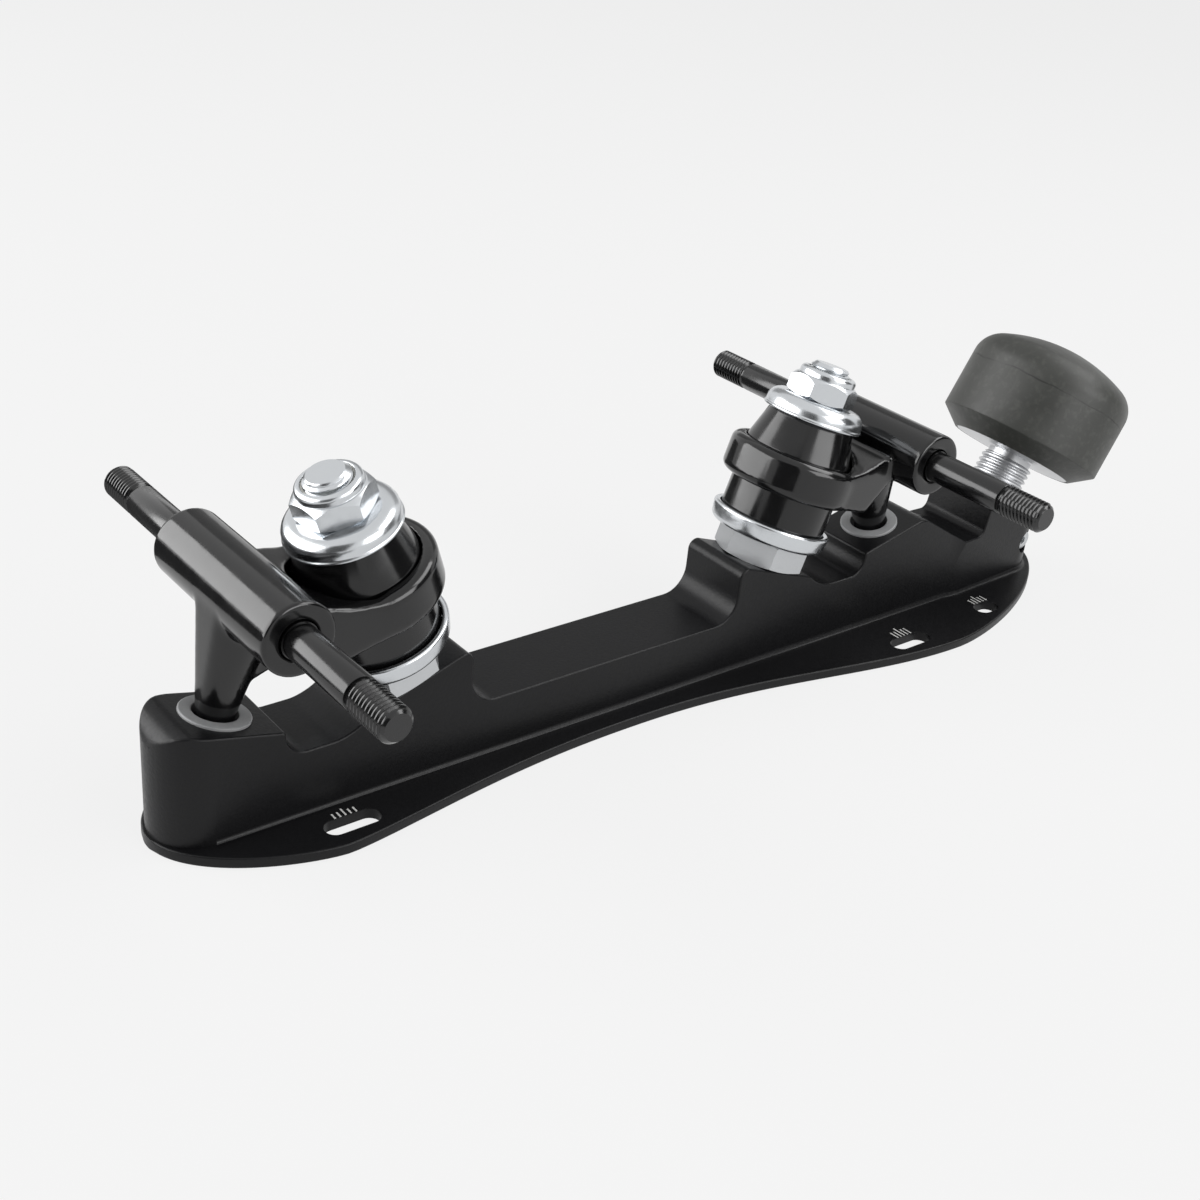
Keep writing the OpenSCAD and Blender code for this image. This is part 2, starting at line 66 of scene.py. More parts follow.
# Edges that run across the rib's top, each as a distance from the plate's middle
LIP_EDGES_X = (36.4, 38.3)
LIP_LEAST_W = 5
LIP_ROUND = 1.0
VALLEY_EDGES_X = (64.4,)
VALLEY_REACH = 4
SLIT_REACH = 1
FLANGE_EDGE = 0.4
SLOT_EDGE = 0.12
SLOT_REACH = 6.6
SLOT_HALF_W = 2.6
# Middle of each pair of slots, as a distance along the plate and out from its middle
SLOT_SPOTS = ((-67.85, 15.9), (86.05, 21.6), (117.35, 19.4))
JOINTS = {joint["name"]: joint for joint in frame["joints"]}
ENDS = ("rear", "front")


def linear(hex_colour):
    """Turns an sRGB colour such as #1a1a1b to linear red, green, blue and alpha."""
    shares = [int(hex_colour[i:i + 2], 16) / 255 for i in (1, 3, 5)]
    return [s / 12.92 if s <= 0.04045 else ((s + 0.055) / 1.055) ** 2.4 for s in shares] + [1]


def new_material(name):
    """Starts a named material with no nodes."""
    material = bpy.data.materials.new(name)
    material.use_nodes = True
    material.node_tree.nodes.clear()
    return material


def add_node(material, kind, inputs=(), **settings):
    """Adds a node, sets its properties, and gives each named input a value or a link."""
    node = material.node_tree.nodes.new("ShaderNode" + kind)
    for name, value in settings.items():
        setattr(node, name, value)
    for socket, value in dict(inputs).items():
        if isinstance(value, bpy.types.NodeSocket):
            material.node_tree.links.new(value, node.inputs[socket])
        else:
            node.inputs[socket].default_value = value
    return node


def solid_copy(node):
    """Copies a CAD node's mesh in millimetres, with its loose triangles merged to flat faces.

    It is parted along the middle plane, so that no face has to reach round a bore that stands there.
    """
    work = bmesh.new()
    work.from_mesh(frame["nodes"][node].data)
    bmesh.ops.scale(work, vec=[1 / MM] * 3, verts=work.verts)
    bmesh.ops.remove_doubles(work, verts=work.verts, dist=0.001)
    bmesh.ops.bisect_plane(work, geom=work.verts[:] + work.edges[:] + work.faces[:], dist=0.0001,
                           plane_co=(0, 0, 0), plane_no=(0, 1, 0))
    joins = [edge for edge in work.edges if any(abs(vert.co.y) > 0.001 for vert in edge.verts)]
    bmesh.ops.dissolve_limit(work, angle_limit=math.radians(0.4), verts=work.verts, edges=joins)
    return work


def add_object(name, work, surface):
    """Makes an object of a bmesh drawn in metres, in one material."""
    mesh = bpy.data.meshes.new(name)
    work.to_mesh(mesh)
    work.free()
    mesh.materials.append(surface)
    made = bpy.data.objects.new(name, mesh)
    bpy.context.scene.collection.objects.link(made)
    return made


def make_piece(name, work, surface, stand=Matrix.Identity(4), crease=35):
    """Makes a smooth object of a bmesh drawn in millimetres, stood in its place in the frame."""
    bmesh.ops.transform(work, matrix=stand, verts=work.verts)
    bmesh.ops.recalc_face_normals(work, faces=work.faces)
    for face in work.faces:
        face.smooth = True
    for edge in work.edges:
        edge.smooth = edge.calc_face_angle(0) < math.radians(crease)
    bmesh.ops.scale(work, vec=[MM] * 3, verts=work.verts)
    return add_object(name, work, surface)


def off_axis(point, foot, axis):
    """Distance of a point from a line."""
    away = point - foot
    return (away - axis * away.dot(axis)).length


def sharp_edges(work, limit=25):
    """Edges of a closed mesh that turn by more than a limit in degrees."""
    return [edge for edge in work.edges if edge.calc_face_angle(0) > math.radians(limit)]


def round_edges(work, edges, reach, segments):
    """Rounds edges with a bevel of a round profile, which starts at a reach from each edge."""
    bmesh.ops.bevel(work, geom=edges, offset=reach, offset_type="OFFSET", segments=segments, profile=0.5,
                    affect="EDGES", clamp_overlap=False, material=-1)


def at_height(edge, height):
    """Tells if an edge lies at a height."""
    return all(abs(vert.co.z - height) < 0.002 for vert in edge.verts)


def at_stations(edge, stations):
    """Tells if an edge of the rib's top lies at one of some distances from the plate's middle."""
    return all(vert.co.z > RIB_TOP_LOW and min(abs(abs(vert.co.x) - x) for x in stations) < 0.05
               for vert in edge.verts)


def by_slit(edge):
    """Tells if an edge touches the slit in the nose, which is cut along the middle plane."""
    return any(0.001 < abs(vert.co.y) < SLIT_REACH for vert in edge.verts)


def by_slot(edge):
    """Tells if an edge runs round one of the slots."""
    for vert in edge.verts:
        for x, y in SLOT_SPOTS:
            aside = abs(vert.co.y) - y
            if abs(aside) < SLOT_HALF_W and math.hypot(vert.co.x - x, aside) < SLOT_REACH:
                return True
    return False


# Satin black anodised aluminium: the dyed oxide keeps the blasted grain, so it glows softly towards the
# light with no clear reflection. The grain is drawn 0.7 mm wide, coarser than it is, so that it shows.
anodised = new_material("satin_black_anodised_aluminium")
place = add_node(anodised, "TexCoord").outputs["Object"]
grain = add_node(anodised, "TexNoise", {"Vector": place, "Scale": 1 / (0.7 * MM),
                                       "Detail": 3, "Roughness": 0.6})
cloud = add_node(anodised, "TexNoise", {"Vector": place, "Scale": 1 / (18 * MM), "Detail": 2})
dye = add_node(anodised, "Mix", {0: cloud.outputs["Fac"], 6: linear("#0c0c0d"), 7: linear("#131315")},
               data_type="RGBA")
sheen = add_node(anodised, "MapRange", {"Value": grain.outputs["Fac"], "From Min": 0.3, "From Max": 0.7,
                                        "To Min": 0.3, "To Max": 0.42})
bumps = add_node(anodised, "Bump", {"Height": grain.outputs["Fac"], "Strength": 0.45, "Distance": 0.08 * MM})
shader = add_node(anodised, "BsdfPrincipled", {"Base Color": dye.outputs[2], "Specular IOR Level": 0.22,
                                              "Roughness": sheen.outputs["Result"],
                                              "Normal": bumps.outputs["Normal"]})
add_node(anodised, "OutputMaterial", {"Surface": shader.outputs["BSDF"]})

plate = solid_copy("baseplate")
CLAMP_FOOT = Vector(JOINTS["clamp_turn"]["pos_m"]) / MM
STOP_FOOT = Vector(JOINTS["stop_turn"]["pos_m"]) / MM
STOP_AXIS = Vector(JOINTS["stop_turn"]["axis"])
SPOT_R = 3.15
STOP_BORE_R = 6.95
PIVOT_LEAN = math.radians(13.5)
CUP_BORE_R = 7.05
KINGPIN_BORE_R = 4.8
ACROSS = Vector((0, 1, 0))
heel_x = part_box("baseplate")[0].x / MM


def pivot_line(end):
    """The middle of a truck's pivot ball, and the direction in which its cup opens."""
    ball = Vector(JOINTS[end + "_steer"]["pos_m"]) / MM
    return ball, Vector((-math.copysign(math.sin(PIVOT_LEAN), ball.x), 0, math.cos(PIVOT_LEAN)))


bores = [(CLAMP_FOOT, ACROSS, SPOT_R), (STOP_FOOT, STOP_AXIS, STOP_BORE_R)]
for end in ENDS:
    kingpin = JOINTS[end + "_nut_turn"]
    bores.append((Vector(kingpin["pos_m"]) / MM, Vector(kingpin["axis"]), KINGPIN_BORE_R))
    bores.append((*pivot_line(end), CUP_BORE_R))


def in_bore(vert):
    """Tells if a vertex lies in the wall of a bore."""
    return any(off_axis(vert.co, foot, axis) < radius + 0.1 for foot, axis, radius in bores)


foot_edges = [edge for edge in sharp_edges(plate) if at_height(edge, FLANGE_T) and not edge.is_convex
              and min(vert.co.x for vert in edge.verts) > heel_x + SHARP_HEEL]
round_edges(plate, foot_edges, FOOT_FILLET, 5)
lips = [edge for edge in sharp_edges(plate, 20) if edge.is_convex and at_stations(edge, LIP_EDGES_X)
        and abs(edge.verts[0].co.y - edge.verts[1].co.y) > LIP_LEAST_W]
round_edges(plate, lips, LIP_ROUND, 4)
valleys = [edge for edge in sharp_edges(plate, 35)
           if not edge.is_convex and at_stations(edge, VALLEY_EDGES_X)]
round_edges(plate, valleys, VALLEY_REACH, 8)
ridge = [edge for edge in sharp_edges(plate, 20) if edge.is_convex
         and min(vert.co.z for vert in edge.verts) > 2 * FLANGE_T
         and not by_slit(edge) and not any(in_bore(vert) for vert in edge.verts)]
round_edges(plate, ridge, RIB_EDGE, 3)
rim = [edge for edge in sharp_edges(plate) if edge.is_convex
       and (at_height(edge, FLANGE_T) or at_height(edge, 0)) and not by_slit(edge)]
slots = [edge for edge in rim if by_slot(edge)]
outline = [edge for edge in rim if not by_slot(edge)]
round_edges(plate, slots, SLOT_EDGE, 2)
round_edges(plate, outline, FLANGE_EDGE, 3)
base = make_piece("base_plate", plate, anodised)
even = base.modifiers.new("even_shading", "WEIGHTED_NORMAL")
even.keep_sharp = True
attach(base, "plate")
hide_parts("baseplate")

# Graduation marks: five short lines beside every slot, engraved through the black with a laser down to
# bare metal, so that both boots of a pair can be bolted on at the same place. The middle line is longest.
MARK_W = 0.38
MARK_H = 0.04
MARK_STEP = 1.18
MARK_LONGER = 1.42
# Each set's middle along the plate, how far out from the plate's middle its marks end, and their length
MARK_SETS = ((-67.9, 13.45, 1.65), (86.6, 19.2, 2.7), (118.2, 16.95, 2.4))

# Laser-engraved aluminium: a pale grey frosted line with no shine. The frost is drawn 0.25 mm wide.
engraved = new_material("laser_engraved_aluminium")
place = add_node(engraved, "TexCoord").outputs["Object"]
frost = add_node(engraved, "TexNoise", {"Vector": place, "Scale": 1 / (0.25 * MM), "Detail": 2})
pale = add_node(engraved, "Mix", {0: frost.outputs["Fac"], 6: linear("#cfcfcd"), 7: linear("#e8e8e5")},
                data_type="RGBA")
shader = add_node(engraved, "BsdfPrincipled", {"Base Color": pale.outputs[2], "Roughness": 0.6})
add_node(engraved, "OutputMaterial", {"Surface": shader.outputs["BSDF"]})

marks = bmesh.new()
for x, outer_y, plain in MARK_SETS:
    for side in (-1, 1):
        for step in range(-2, 3):
            length = plain * MARK_LONGER if step == 0 else plain
            made = bmesh.ops.create_cube(marks, size=1)["verts"]
            bmesh.ops.scale(marks, vec=(MARK_W, length, MARK_H), verts=made)
            middle = (x + step * MARK_STEP, side * (outer_y - length / 2), FLANGE_T + MARK_H / 2)
            bmesh.ops.translate(marks, vec=middle, verts=made)
lines = make_piece("graduation_marks", marks, engraved)
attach(lines, "plate")

# Pivot cups: small plastic sockets pressed into the plate, one under each truck. The round tip of the
# hanger's stem turns in them. They are moulded in grey nylon with a rounded rim that stands proud.
CUP_R = 7
CUP_MOUTH_R = 4.45
CUP_PROUD = 0.6
CUP_H = 8.85
BALL_R = 3.85
# How far the plate's face round a cup is below the top of the ball
FACE_DROP = 0.05


def arc(middle, radius, start, finish, steps):
    """Points of an arc about a middle, from one angle in degrees to another."""
    angles = [math.radians(start + (finish - start) * i / steps) for i in range(steps + 1)]
    return [(middle[0] + radius * math.cos(a), middle[1] + radius * math.sin(a)) for a in angles]


def rounded(corners, steps=6):
    """Points of an outline from corners of (across, up, radius), with an arc at each corner that has one."""
    points = []
    for i, (x, y, radius) in enumerate(corners):
        corner = Vector((x, y))
        back = (Vector(corners[i - 1][:2]) - corner).normalized()
        ahead = (Vector(corners[(i + 1) % len(corners)][:2]) - corner).normalized()
        half = back.angle(ahead) / 2
        if radius == 0:
            points.append(corner)
            continue
        middle = corner + (back + ahead).normalized() * radius / math.sin(half)
        start = corner + back * radius / math.tan(half) - middle
        swing = (math.pi - 2 * half) * (-1 if back.cross(ahead) > 0 else 1)
        points += [middle + Matrix.Rotation(swing * k / steps, 2) @ start for k in range(steps + 1)]
    return points


def turned(points, steps=96):
    """Spins a closed half section of (radius, height) points a full turn about Z."""
    work = bmesh.new()
    verts = [work.verts.new((max(p[0], 0), 0, p[1])) for p in points]
    edges = [work.edges.new(pair) for pair in zip(verts, verts[1:] + verts[:1])]
    bmesh.ops.spin(work, geom=verts + edges, cent=(0, 0, 0), axis=(0, 0, 1), dvec=(0, 0, 0),
                   angle=2 * math.pi, steps=steps, use_merge=True)
    bmesh.ops.remove_doubles(work, verts=work.verts, dist=0.0005)
    bmesh.ops.recalc_face_normals(work, faces=work.faces)
    return work


def stand_on(foot, up):
    """Stands a piece drawn along Z on a foot, leaning in the plate's middle plane, its X outward."""
    outward = Vector((up.z, 0, -up.x)) * math.copysign(1, up.x)
    turn = Matrix((outward, up.cross(outward), up)).transposed().to_4x4()
    return Matrix.Translation(foot) @ turn


# Moulded grey nylon: an even mid grey with a soft sheen and a faint mould texture 0.6 mm wide.
grey_nylon = new_material("moulded_grey_nylon")
place = add_node(grey_nylon, "TexCoord").outputs["Object"]
mould = add_node(grey_nylon, "TexNoise", {"Vector": place, "Scale": 1 / (0.6 * MM), "Detail": 3})
tone = add_node(grey_nylon, "Mix", {0: mould.outputs["Fac"], 6: linear("#8c8d8e"), 7: linear("#9fa0a1")},
                data_type="RGBA")
bumps = add_node(grey_nylon, "Bump", {"Height": mould.outputs["Fac"], "Strength": 0.2,
                                     "Distance": 0.03 * MM})
shader = add_node(grey_nylon, "BsdfPrincipled", {"Base Color": tone.outputs[2], "Roughness": 0.45,
                                                "IOR": 1.53, "Normal": bumps.outputs["Normal"]})
add_node(grey_nylon, "OutputMaterial", {"Surface": shader.outputs["BSDF"]})

for end in ENDS:
    ball, lean = pivot_line(end)
    mouth = BALL_R - FACE_DROP + CUP_PROUD
    section = rounded([(0, mouth - CUP_H, 0), (CUP_R, mouth - CUP_H, 0.6), (CUP_R, mouth, 0.35),
                       (CUP_MOUTH_R, mouth, 0.3), (BALL_R, 0, 0)])
    cup = turned(section + arc((0, 0), BALL_R, 0, -90, 12))
    socket = make_piece(end + "_pivot_socket", cup, grey_nylon, stand_on(ball, lean))
    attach(socket, "plate")
    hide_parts(end + "_pivot_cup")

# Kingpins: fine-threaded steel bolts screwed into the plate, which hold each truck's stack together.
# They are bright zinc plated, with the thread showing where the tip stands out of its lock nut.
KINGPIN_R = 4.75
KINGPIN_SHANK_R = 4.7
KINGPIN_ROOT = 4.15
KINGPIN_PITCH = 1.058
KINGPIN_FOOT_S = -14
KINGPIN_THREAD_S = 36
KINGPIN_TOP_S = 47.9
TIP_CHAMFER = 0.95
FOOT_CHAMFER = 0.9
THREAD_RUNOUT = 0.8


def loop_at(work, height):
    """Open edges of a mesh that lie at a height."""
    return [edge for edge in work.edges if edge.is_boundary
            and all(abs(vert.co.z - height) < 0.001 for vert in edge.verts)]


def carry_on(work, loop, stops):
    """Extrudes a round open loop through stops of (radius, height) and gives back the last loop."""
    for radius, height in stops:
        made = bmesh.ops.extrude_edge_only(work, edges=loop)["geom"]
        fresh = {part for part in made if isinstance(part, bmesh.types.BMVert)}
        for vert in fresh:
            flat = Vector((vert.co.x, vert.co.y)).normalized() * radius
            vert.co = (flat.x, flat.y, height)
        loop = [part for part in made if isinstance(part, bmesh.types.BMEdge)
                and all(vert in fresh for vert in part.verts)]
    return loop


def threaded(crest, root, pitch, low, high, chamfer, steps=64):
    """A helical thread from low to high, open below and closed above by a chamfered end."""
    work = bmesh.new()
    line = []
    for turn in range(math.ceil((high - low) / pitch) + 2):
        for share, radius in ((0, root), (0.12, root), (0.44, crest), (0.68, crest)):
            line.append(work.verts.new((radius, 0, low + (turn - 1.5 + share) * pitch)))
    edges = [work.edges.new(pair) for pair in zip(line, line[1:])]
    bmesh.ops.spin(work, geom=line + edges, cent=(0, 0, 0), axis=(0, 0, 1), dvec=(0, 0, pitch / steps),
                   angle=2 * math.pi, steps=steps)
    bmesh.ops.remove_doubles(work, verts=work.verts, dist=0.0005)
    for height, normal in ((low, (0, 0, -1)), (high, (0, 0, 1))):
        bmesh.ops.bisect_plane(work, geom=work.verts[:] + work.edges[:] + work.faces[:], dist=0.0001,
                               plane_co=(0, 0, height), plane_no=normal, clear_outer=True)
    bmesh.ops.remove_doubles(work, verts=work.verts, dist=0.004)
    for vert in work.verts:
        limit = crest - chamfer + (high - vert.co.z)
        radius = math.hypot(vert.co.x, vert.co.y)
        if radius > limit:
            vert.co.x *= limit / radius
            vert.co.y *= limit / radius
    bmesh.ops.edgeloop_fill(work, edges=loop_at(work, high))
    return work


# Bright zinc plate over steel: a pale, faintly bluish metal with a soft mirror, broken by the faint
# unevenness of the plating, drawn 1.5 mm wide.
zinc = new_material("bright_zinc_plated_steel")
place = add_node(zinc, "TexCoord").outputs["Object"]
plating = add_node(zinc, "TexNoise", {"Vector": place, "Scale": 1 / (1.5 * MM), "Detail": 2})
gloss = add_node(zinc, "MapRange", {"Value": plating.outputs["Fac"], "From Min": 0.3, "From Max": 0.7,
                                    "To Min": 0.19, "To Max": 0.27})
bumps = add_node(zinc, "Bump", {"Height": plating.outputs["Fac"], "Strength": 0.1, "Distance": 0.03 * MM})
shader = add_node(zinc, "BsdfPrincipled", {"Base Color": linear("#cdd0d3"), "Metallic": 1,
                                          "Roughness": gloss.outputs["Result"],
                                          "Normal": bumps.outputs["Normal"]})
add_node(zinc, "OutputMaterial", {"Surface": shader.outputs["BSDF"]})

KINGPIN_STAND = {}
for end in ENDS:
    joint = JOINTS[end + "_nut_turn"]
    KINGPIN_STAND[end] = stand_on(Vector(joint["pos_m"]) / MM, Vector(joint["axis"]))
    bolt = threaded(KINGPIN_R, KINGPIN_ROOT, KINGPIN_PITCH, KINGPIN_THREAD_S, KINGPIN_TOP_S, TIP_CHAMFER)
    last = carry_on(bolt, loop_at(bolt, KINGPIN_THREAD_S),
                    [(KINGPIN_SHANK_R, KINGPIN_THREAD_S - THREAD_RUNOUT),
                     (KINGPIN_SHANK_R, KINGPIN_FOOT_S + FOOT_CHAMFER),
                     (KINGPIN_R - FOOT_CHAMFER, KINGPIN_FOOT_S)])
    bmesh.ops.edgeloop_fill(bolt, edges=last)
    pin = make_piece(end + "_kingpin_bolt", bolt, zinc, KINGPIN_STAND[end])
    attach(pin, "plate")
    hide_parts(end + "_kingpin")

# Jam nuts: thin hexagon nuts at the foot of the kingpins, which lock them in the plate and carry the
# lower washer. They are zinc plated and tumbled, so they look duller than the other nuts.
JAM_AF = 19
JAM_H = 6
JAM_BREAK = 0.5
# How far a nut's chamfer starts inside its flats, and how far its blank stands out past its corners
FACE_INSET = 0.1
CORNER_SPARE = 0.2


def corner_r(across_flats):
    """Radius to the corners of a hexagon."""
    return across_flats / 2 / math.cos(math.radians(30))


def cut_hexagon(work, across_flats, turn):
    """Cuts a turned blank to a hexagon, with a corner turned away from X by an angle in degrees."""
    for i in range(6):
        angle = math.radians(turn + 30 + 60 * i)
        out = Vector((math.cos(angle), math.sin(angle), 0))
        bmesh.ops.bisect_plane(work, geom=work.verts[:] + work.edges[:] + work.faces[:], dist=0.0001,
                               plane_co=out * across_flats / 2, plane_no=out, clear_outer=True)
        bmesh.ops.holes_fill(work, edges=[edge for edge in work.edges if edge.is_boundary])


# Dull zinc plate: the same plating tumbled to an even satin grey. Its fine dents are drawn 0.45 mm wide.
dull_zinc = new_material("tumbled_zinc_plated_steel")
place = add_node(dull_zinc, "TexCoord").outputs["Object"]
tumble = add_node(dull_zinc, "TexNoise", {"Vector": place, "Scale": 1 / (0.45 * MM), "Detail": 4})
gloss = add_node(dull_zinc, "MapRange", {"Value": tumble.outputs["Fac"], "From Min": 0.3, "From Max": 0.7,
                                         "To Min": 0.36, "To Max": 0.5})
bumps = add_node(dull_zinc, "Bump", {"Height": tumble.outputs["Fac"], "Strength": 0.25,
                                    "Distance": 0.04 * MM})
shader = add_node(dull_zinc, "BsdfPrincipled", {"Base Color": linear("#c6c8ca"), "Metallic": 1,
                                               "Roughness": gloss.outputs["Result"],
                                               "Normal": bumps.outputs["Normal"]})
add_node(dull_zinc, "OutputMaterial", {"Surface": shader.outputs["BSDF"]})

for end in ENDS:
    face_r = JAM_AF / 2 - FACE_INSET
    blank_r = corner_r(JAM_AF) + CORNER_SPARE
    section = [(KINGPIN_BORE_R, 0), (face_r, 0), (blank_r, JAM_BREAK), (blank_r, JAM_H - JAM_BREAK),
               (face_r, JAM_H), (KINGPIN_BORE_R, JAM_H)]
    blank = turned(section)
    cut_hexagon(blank, JAM_AF, 0)
    jam = make_piece(end + "_jam_nut", blank, dull_zinc, KINGPIN_STAND[end], crease=20)
    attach(jam, "plate")
    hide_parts(end + "_base_nut")

# Lower washers: pressed steel dishes, zinc plated, that sit on the jam nuts. Their rims flare up round
# the foot of the lower cushion and keep it in the middle.
LOWER_S = 6
LOWER_CUP_R = 12.8
LOWER_R = 14.3
LOWER_T = 1.5
LOWER_H = 4.5
LOWER_FLARE = 0.7
for end in ENDS:
    section = rounded([(KINGPIN_BORE_R, 0, 0.2), (LOWER_R - LOWER_FLARE, 0, 1.6), (LOWER_R, LOWER_H, 0.7),
                       (LOWER_CUP_R, LOWER_H, 0.6), (LOWER_CUP_R, LOWER_T, 0.25),
                       (KINGPIN_BORE_R, LOWER_T, 0.2)])
    dish = turned(section)
    washer = make_piece(end + "_lower_dish", dish, zinc,
                        KINGPIN_STAND[end] @ Matrix.Translation((0, 0, LOWER_S)))
    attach(washer, "plate")
    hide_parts(end + "_lower_washer")

# Lower cushions: solid cast urethane barrels between the lower washer and the hanger's ring. They are
# squeezed when the truck leans.
CUSHION_R = 12.5
CUSHION_BORE_R = 5.1
LOWER_CUSHION_S = (7.5, 20.7)
CUSHION_EDGE = 1.0
BORE_EDGE = 0.4

# Cast urethane: deep black and wet-looking, with the faint ripple of the mould, drawn 5 mm wide.
urethane = new_material("cast_black_urethane")
place = add_node(urethane, "TexCoord").outputs["Object"]
ripple = add_node(urethane, "TexNoise", {"Vector": place, "Scale": 1 / (5 * MM), "Detail": 1})
bumps = add_node(urethane, "Bump", {"Height": ripple.outputs["Fac"], "Strength": 0.12, "Distance": 0.2 * MM})
gloss = add_node(urethane, "MapRange", {"Value": ripple.outputs["Fac"], "From Min": 0.3, "From Max": 0.7,
                                        "To Min": 0.1, "To Max": 0.2})
shader = add_node(urethane, "BsdfPrincipled", {"Base Color": linear("#0b0b0c"), "IOR": 1.5,
                                              "Roughness": gloss.outputs["Result"],
                                              "Normal": bumps.outputs["Normal"]})
add_node(urethane, "OutputMaterial", {"Surface": shader.outputs["BSDF"]})


def cut_walls(work, least, cuts):
    """Parts the edges that rise by more than a least height, so that a wall can bend."""
    walls = [edge for edge in work.edges if abs(edge.verts[0].co.z - edge.verts[1].co.z) > least]
    bmesh.ops.subdivide_edges(work, edges=walls, cuts=cuts, use_grid_fill=True)


for end in ENDS:
    low, high = LOWER_CUSHION_S
    section = rounded([(CUSHION_BORE_R, low, BORE_EDGE), (CUSHION_R, low, CUSHION_EDGE),
                       (CUSHION_R, high, CUSHION_EDGE), (CUSHION_BORE_R, high, BORE_EDGE)])
    barrel = turned(section)
    cut_walls(barrel, least=5, cuts=11)
    cushion = make_piece(end + "_lower_cushion", barrel, urethane, KINGPIN_STAND[end])
    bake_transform(cushion)
    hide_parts(end + "_lower_bushing")

# Hangers: aluminium castings that carry the axles. A ring sits between the two cushions, an arm rises
# from it to a cross barrel, and a stem runs down to the pivot cup. All the inner corners are filleted.
VOXEL = 0.28
BARREL_R = 7.3
BARREL_HALF = 21.5
BORE_R = 3.8
BORE_CHAMFER = 0.7
RECESS_R = 12.8
FILLET_RINGS = 9
# Easing starts this far out from the kingpin, stays this far off the ring and the barrel, and ends this
# far from the pivot ball
EASED_OUT = 3
EASED_CLEAR = 0.12
EASED_OFF_BALL = 11
SKIN_OFF_BALL = 6
SKIN_PASSES = 3
LAYER_PASSES = 4

# Gloss black paint, baked on: a deep black with sharp reflections that waver a little, because the paint
# dries with a faint orange peel, drawn 3 mm wide.
gloss_paint = new_material("baked_gloss_black_paint")
place = add_node(gloss_paint, "TexCoord").outputs["Object"]
peel = add_node(gloss_paint, "TexNoise", {"Vector": place, "Scale": 1 / (3 * MM), "Detail": 2})
bumps = add_node(gloss_paint, "Bump", {"Height": peel.outputs["Fac"], "Strength": 0.1,
                                      "Distance": 0.12 * MM})
gloss = add_node(gloss_paint, "MapRange", {"Value": peel.outputs["Fac"], "From Min": 0.3, "From Max": 0.7,
                                           "To Min": 0.1, "To Max": 0.18})
shader = add_node(gloss_paint, "BsdfPrincipled", {"Base Color": linear("#0c0c0d"), "IOR": 1.52,
                                                 "Roughness": gloss.outputs["Result"],
                                                 "Normal": bumps.outputs["Normal"]})
add_node(gloss_paint, "OutputMaterial", {"Surface": shader.outputs["BSDF"]})


def remeshed(work, voxel):
    """Gives a closed bmesh an even fine mesh, so that smoothing can fillet its corners."""
    mesh = bpy.data.meshes.new("blank")
    work.to_mesh(mesh)
    work.free()
    blank = bpy.data.objects.new("blank", mesh)
    bpy.context.scene.collection.objects.link(blank)
    fine = blank.modifiers.new("even", "REMESH")
    fine.mode = "VOXEL"
    fine.voxel_size = voxel
    ready = blank.evaluated_get(bpy.context.evaluated_depsgraph_get())
    work = bmesh.new()
    work.from_mesh(ready.to_mesh())
    ready.to_mesh_clear()
    bpy.data.objects.remove(blank)
    bpy.data.meshes.remove(mesh)
    return work


def grown(verts):
    """A set of vertices with all their neighbours."""
    return verts | {edge.other_vert(vert) for vert in verts for edge in vert.link_edges}


for end in ENDS:
    axle_low, axle_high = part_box(end + "_axle")
    axle = (axle_low + axle_high) / 2 / MM
    ball = pivot_line(end)[0]
    to_kingpin = KINGPIN_STAND[end].inverted()
    blank = solid_copy(end + "_hanger")
    mouths = [edge for edge in blank.edges
              if all(abs(abs(vert.co.y) - BARREL_HALF) < 0.01
                     and off_axis(vert.co, axle, ACROSS) < BORE_R + 0.05 for vert in edge.verts)]
    round_edges(blank, mouths, BORE_CHAMFER, 2)
    casting = remeshed(blank, VOXEL)
    # The arm and the top of the stem are eased most, and less and less on to the faces that they join
    eased = set()
    for vert in casting.verts:
        spot = to_kingpin @ vert.co
        if (spot.x > EASED_OUT and math.hypot(spot.x, spot.y) > RECESS_R + EASED_CLEAR
                and off_axis(vert.co, axle, ACROSS) > BARREL_R + EASED_CLEAR
                and (vert.co - ball).length > EASED_OFF_BALL):
            eased.add(vert)
    layers = [eased]
    for _ in range(FILLET_RINGS):
        layers.append(grown(layers[-1]))
    skin = [vert for vert in casting.verts if (vert.co - ball).length > SKIN_OFF_BALL]
    for verts, passes in [(skin, SKIN_PASSES)] + [(layer, LAYER_PASSES) for layer in reversed(layers)]:
        for _ in range(passes):
            bmesh.ops.smooth_vert(casting, verts=list(verts), factor=0.5, use_axis_x=True, use_axis_y=True,
                                  use_axis_z=True)
    hanger = make_piece(end + "_hanger_casting", casting, gloss_paint, crease=180)
    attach(hanger, end + "_truck")
    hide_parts(end + "_hanger")

# Axles: hardened steel rods pressed through the barrels, ground smooth where the wheels run and cut with
# a fine thread at both ends for the wheel nuts. They are finished in polished black oxide.
AXLE_R = 3.5
AXLE_ROOT = 3.12
AXLE_PITCH = 1.0
AXLE_HALF = 53.25
AXLE_THREAD_Y = 42.6
AXLE_SEAT_Y = 41.75
AXLE_GRIP_Y = 21.5
AXLE_GRIP_R = 3.7
AXLE_NECK_R = 3.0
AXLE_NECK_RISE = 0.25
AXLE_CHAMFER = 0.9
# The wheel seat's edge is broken in two steps, each as (in, along)
SEAT_BREAKS = ((0.1, 0.1), (0, 0.3))

